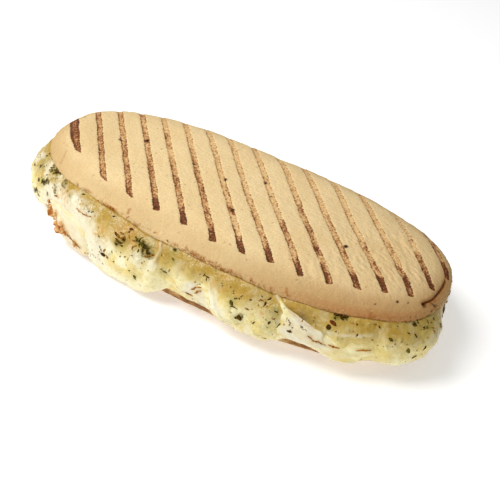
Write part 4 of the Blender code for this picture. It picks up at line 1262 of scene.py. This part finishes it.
def cheese_material():
    paint = Paint("melted_cheese")
    mottle = paint.noise(2.0, 4.0, roughness=0.7)
    leaf = paint.mask("leaf", paint.ramp(mottle, 0.36, 0.62, 0.3, 1.0))
    colour = paint.layers(
        CHEESE_PALE, (paint.ramp(paint.noise(9.0, 3.0), 0.36, 0.62), CHEESE_YELLOW),
        # Painted shade of the bread's rim on the cheese, in olive.
        (paint.mask("under"), CHEESE_OLIVE_AND_RIM_SHADE),
        (paint.ramp(paint.noise(1.3, 3.0, roughness=0.7), 0.4, 0.75, 0.0, 0.3), CHEESE_OLIVE_AND_RIM_SHADE),
        (paint.ramp(mottle, 0.56, 0.8, 0.0, 0.5), CURD_WHITE_AND_HIGHLIGHT), (paint.mask("meat"), MEAT_WHITE),
        # Whiter cheese and painted highlights on the wet cheese.
        (paint.mask("white", paint.ramp(mottle, 0.25, 0.6, 0.3, 0.7)), CURD_WHITE_AND_HIGHLIGHT),
        (paint.mask("green", paint.ramp(mottle, 0.3, 0.65, 0.1, 0.45)), HERB_GREEN),
        (paint.mask("toast", paint.ramp(mottle, 0.35, 0.68, 0.0, 0.85)), CHEESE_TOAST),
        (paint.ramp(leaf, 0.02, 0.4, 0.0, 0.8), LEAF_EDGE), (paint.ramp(leaf, 0.4, 0.85, 0.0, 0.95), LEAF),
        (paint.specks(2.4, 0.08, 5.0, 0.7), HERB_BROWN), (paint.specks(1.8, 0.02, 9.0, 0.8), LEAF))
    paint.bump((paint.noise(3.4, 4.0, roughness=0.6), 0.75), (paint.noise(1.1, 3.0), 0.28))
    return paint.done(colour, Roughness=0.24, Specular_IOR_Level=paint.ramp(leaf, 0.1, 0.5, 0.45, 0.03),
                      Subsurface_Weight=paint.ramp(leaf, 0.05, 0.3, 0.1, 0.0),
                      Subsurface_Radius=(1.8, 1.5, 0.9))


def chicken_material():
    paint = Paint("cooked_chicken")
    cloud = paint.ramp(paint.noise(6.0, 3.0, stretch=(1.6, 1.6, 0.5)), 0.34, 0.66)
    mottle = paint.noise(1.8, 4.0, roughness=0.6)
    colour = paint.layers(
        MEAT_CREAM, (cloud, MEAT_WHITE),
        (paint.mask("cheesy"), paint.layers(CHEESE_YELLOW, (cloud, CHEESE_PALE))),
        (paint.mask("toast", paint.ramp(mottle, 0.3, 0.68, 0.1, 0.9)), CHEESE_TOAST),
        (paint.specks(2.4, 0.06, 5.0, 0.7), HERB_BROWN))
    fibres = paint.noise(2.6, 4.0, stretch=(1.5, 1.5, 0.5), roughness=0.6)
    paint.bump((fibres, 0.4), (paint.noise(0.9, 2.0), 0.12))
    return paint.done(colour, Roughness=0.42, Specular_IOR_Level=0.4, Subsurface_Weight=0.1,
                      Subsurface_Radius=(1.8, 1.5, 1.1))


def herb_material(kind):
    low, high = HERB_COLOURS[kind]
    paint = Paint("herb_" + kind)
    size = 2.6 if kind == "lump" else 0.8
    colour = paint.layers(low, (paint.ramp(paint.noise(size, 3.0), 0.35, 0.65), high))
    paint.bump((paint.noise(0.5, 2.0), 0.08))
    return paint.done(colour, Roughness=0.55, Specular_IOR_Level=0.04)


# The studio, in metres.
FLOOR_HALF = 3.0
LIGHT_TARGET = (0, 0, 0.02)
# Each light's name, place, size and power.
LIGHTS = (("key", (-0.38, -0.25, 0.73), 0.5, 6.0), ("fill", (0.5, -0.9, 0.5), 0.8, 1.0))
WORLD_STRENGTH = 0.33


def add_floor():
    mesh = bpy.data.meshes.new("floor")
    corners = [(x * FLOOR_HALF, y * FLOOR_HALF, 0) for x, y in ((-1, -1), (1, -1), (1, 1), (-1, 1))]
    mesh.from_pydata(corners, [], [(0, 1, 2, 3)])
    mesh.materials.append(Paint("floor").done(
        (0.95, 0.95, 0.95), Roughness=0.8, Specular_IOR_Level=0.1, Emission_Color=(1.0, 1.0, 1.0),
        Emission_Strength=0.35))
    add_object("floor", mesh)


def add_studio():
    add_floor()
    for name, place, size, power in LIGHTS:
        data = bpy.data.lights.new(name, "AREA")
        data.size = size
        data.energy = power
        light = add_object(name, data)
        light.location = place
        light.rotation_euler = (Vector(LIGHT_TARGET) - light.location).to_track_quat("-Z", "Y").to_euler()
    world = bpy.data.worlds.new("studio")
    world.use_nodes = True
    world.node_tree.nodes["Background"].inputs["Color"].default_value = (1, 1, 1, 1)
    world.node_tree.nodes["Background"].inputs["Strength"].default_value = WORLD_STRENGTH
    bpy.context.scene.world = world
    bpy.context.scene.view_settings.view_transform = "Standard"


def build():
    add_camera()
    add_studio()
    crust = bread_material()
    meat = chicken_material()
    bread_top = make_bread_top(crust)
    make_bread_bottom(crust)
    filling = [make_cheese()]
    cheese_tree = filling[0].tree()
    for number, (name, ends) in enumerate(SLICES.items()):
        filling.append(make_slice(name, ends, 50 + 10 * number, cheese_tree, meat))
    make_lumps(filling)
    make_herbs(filling, bread_top)


build()
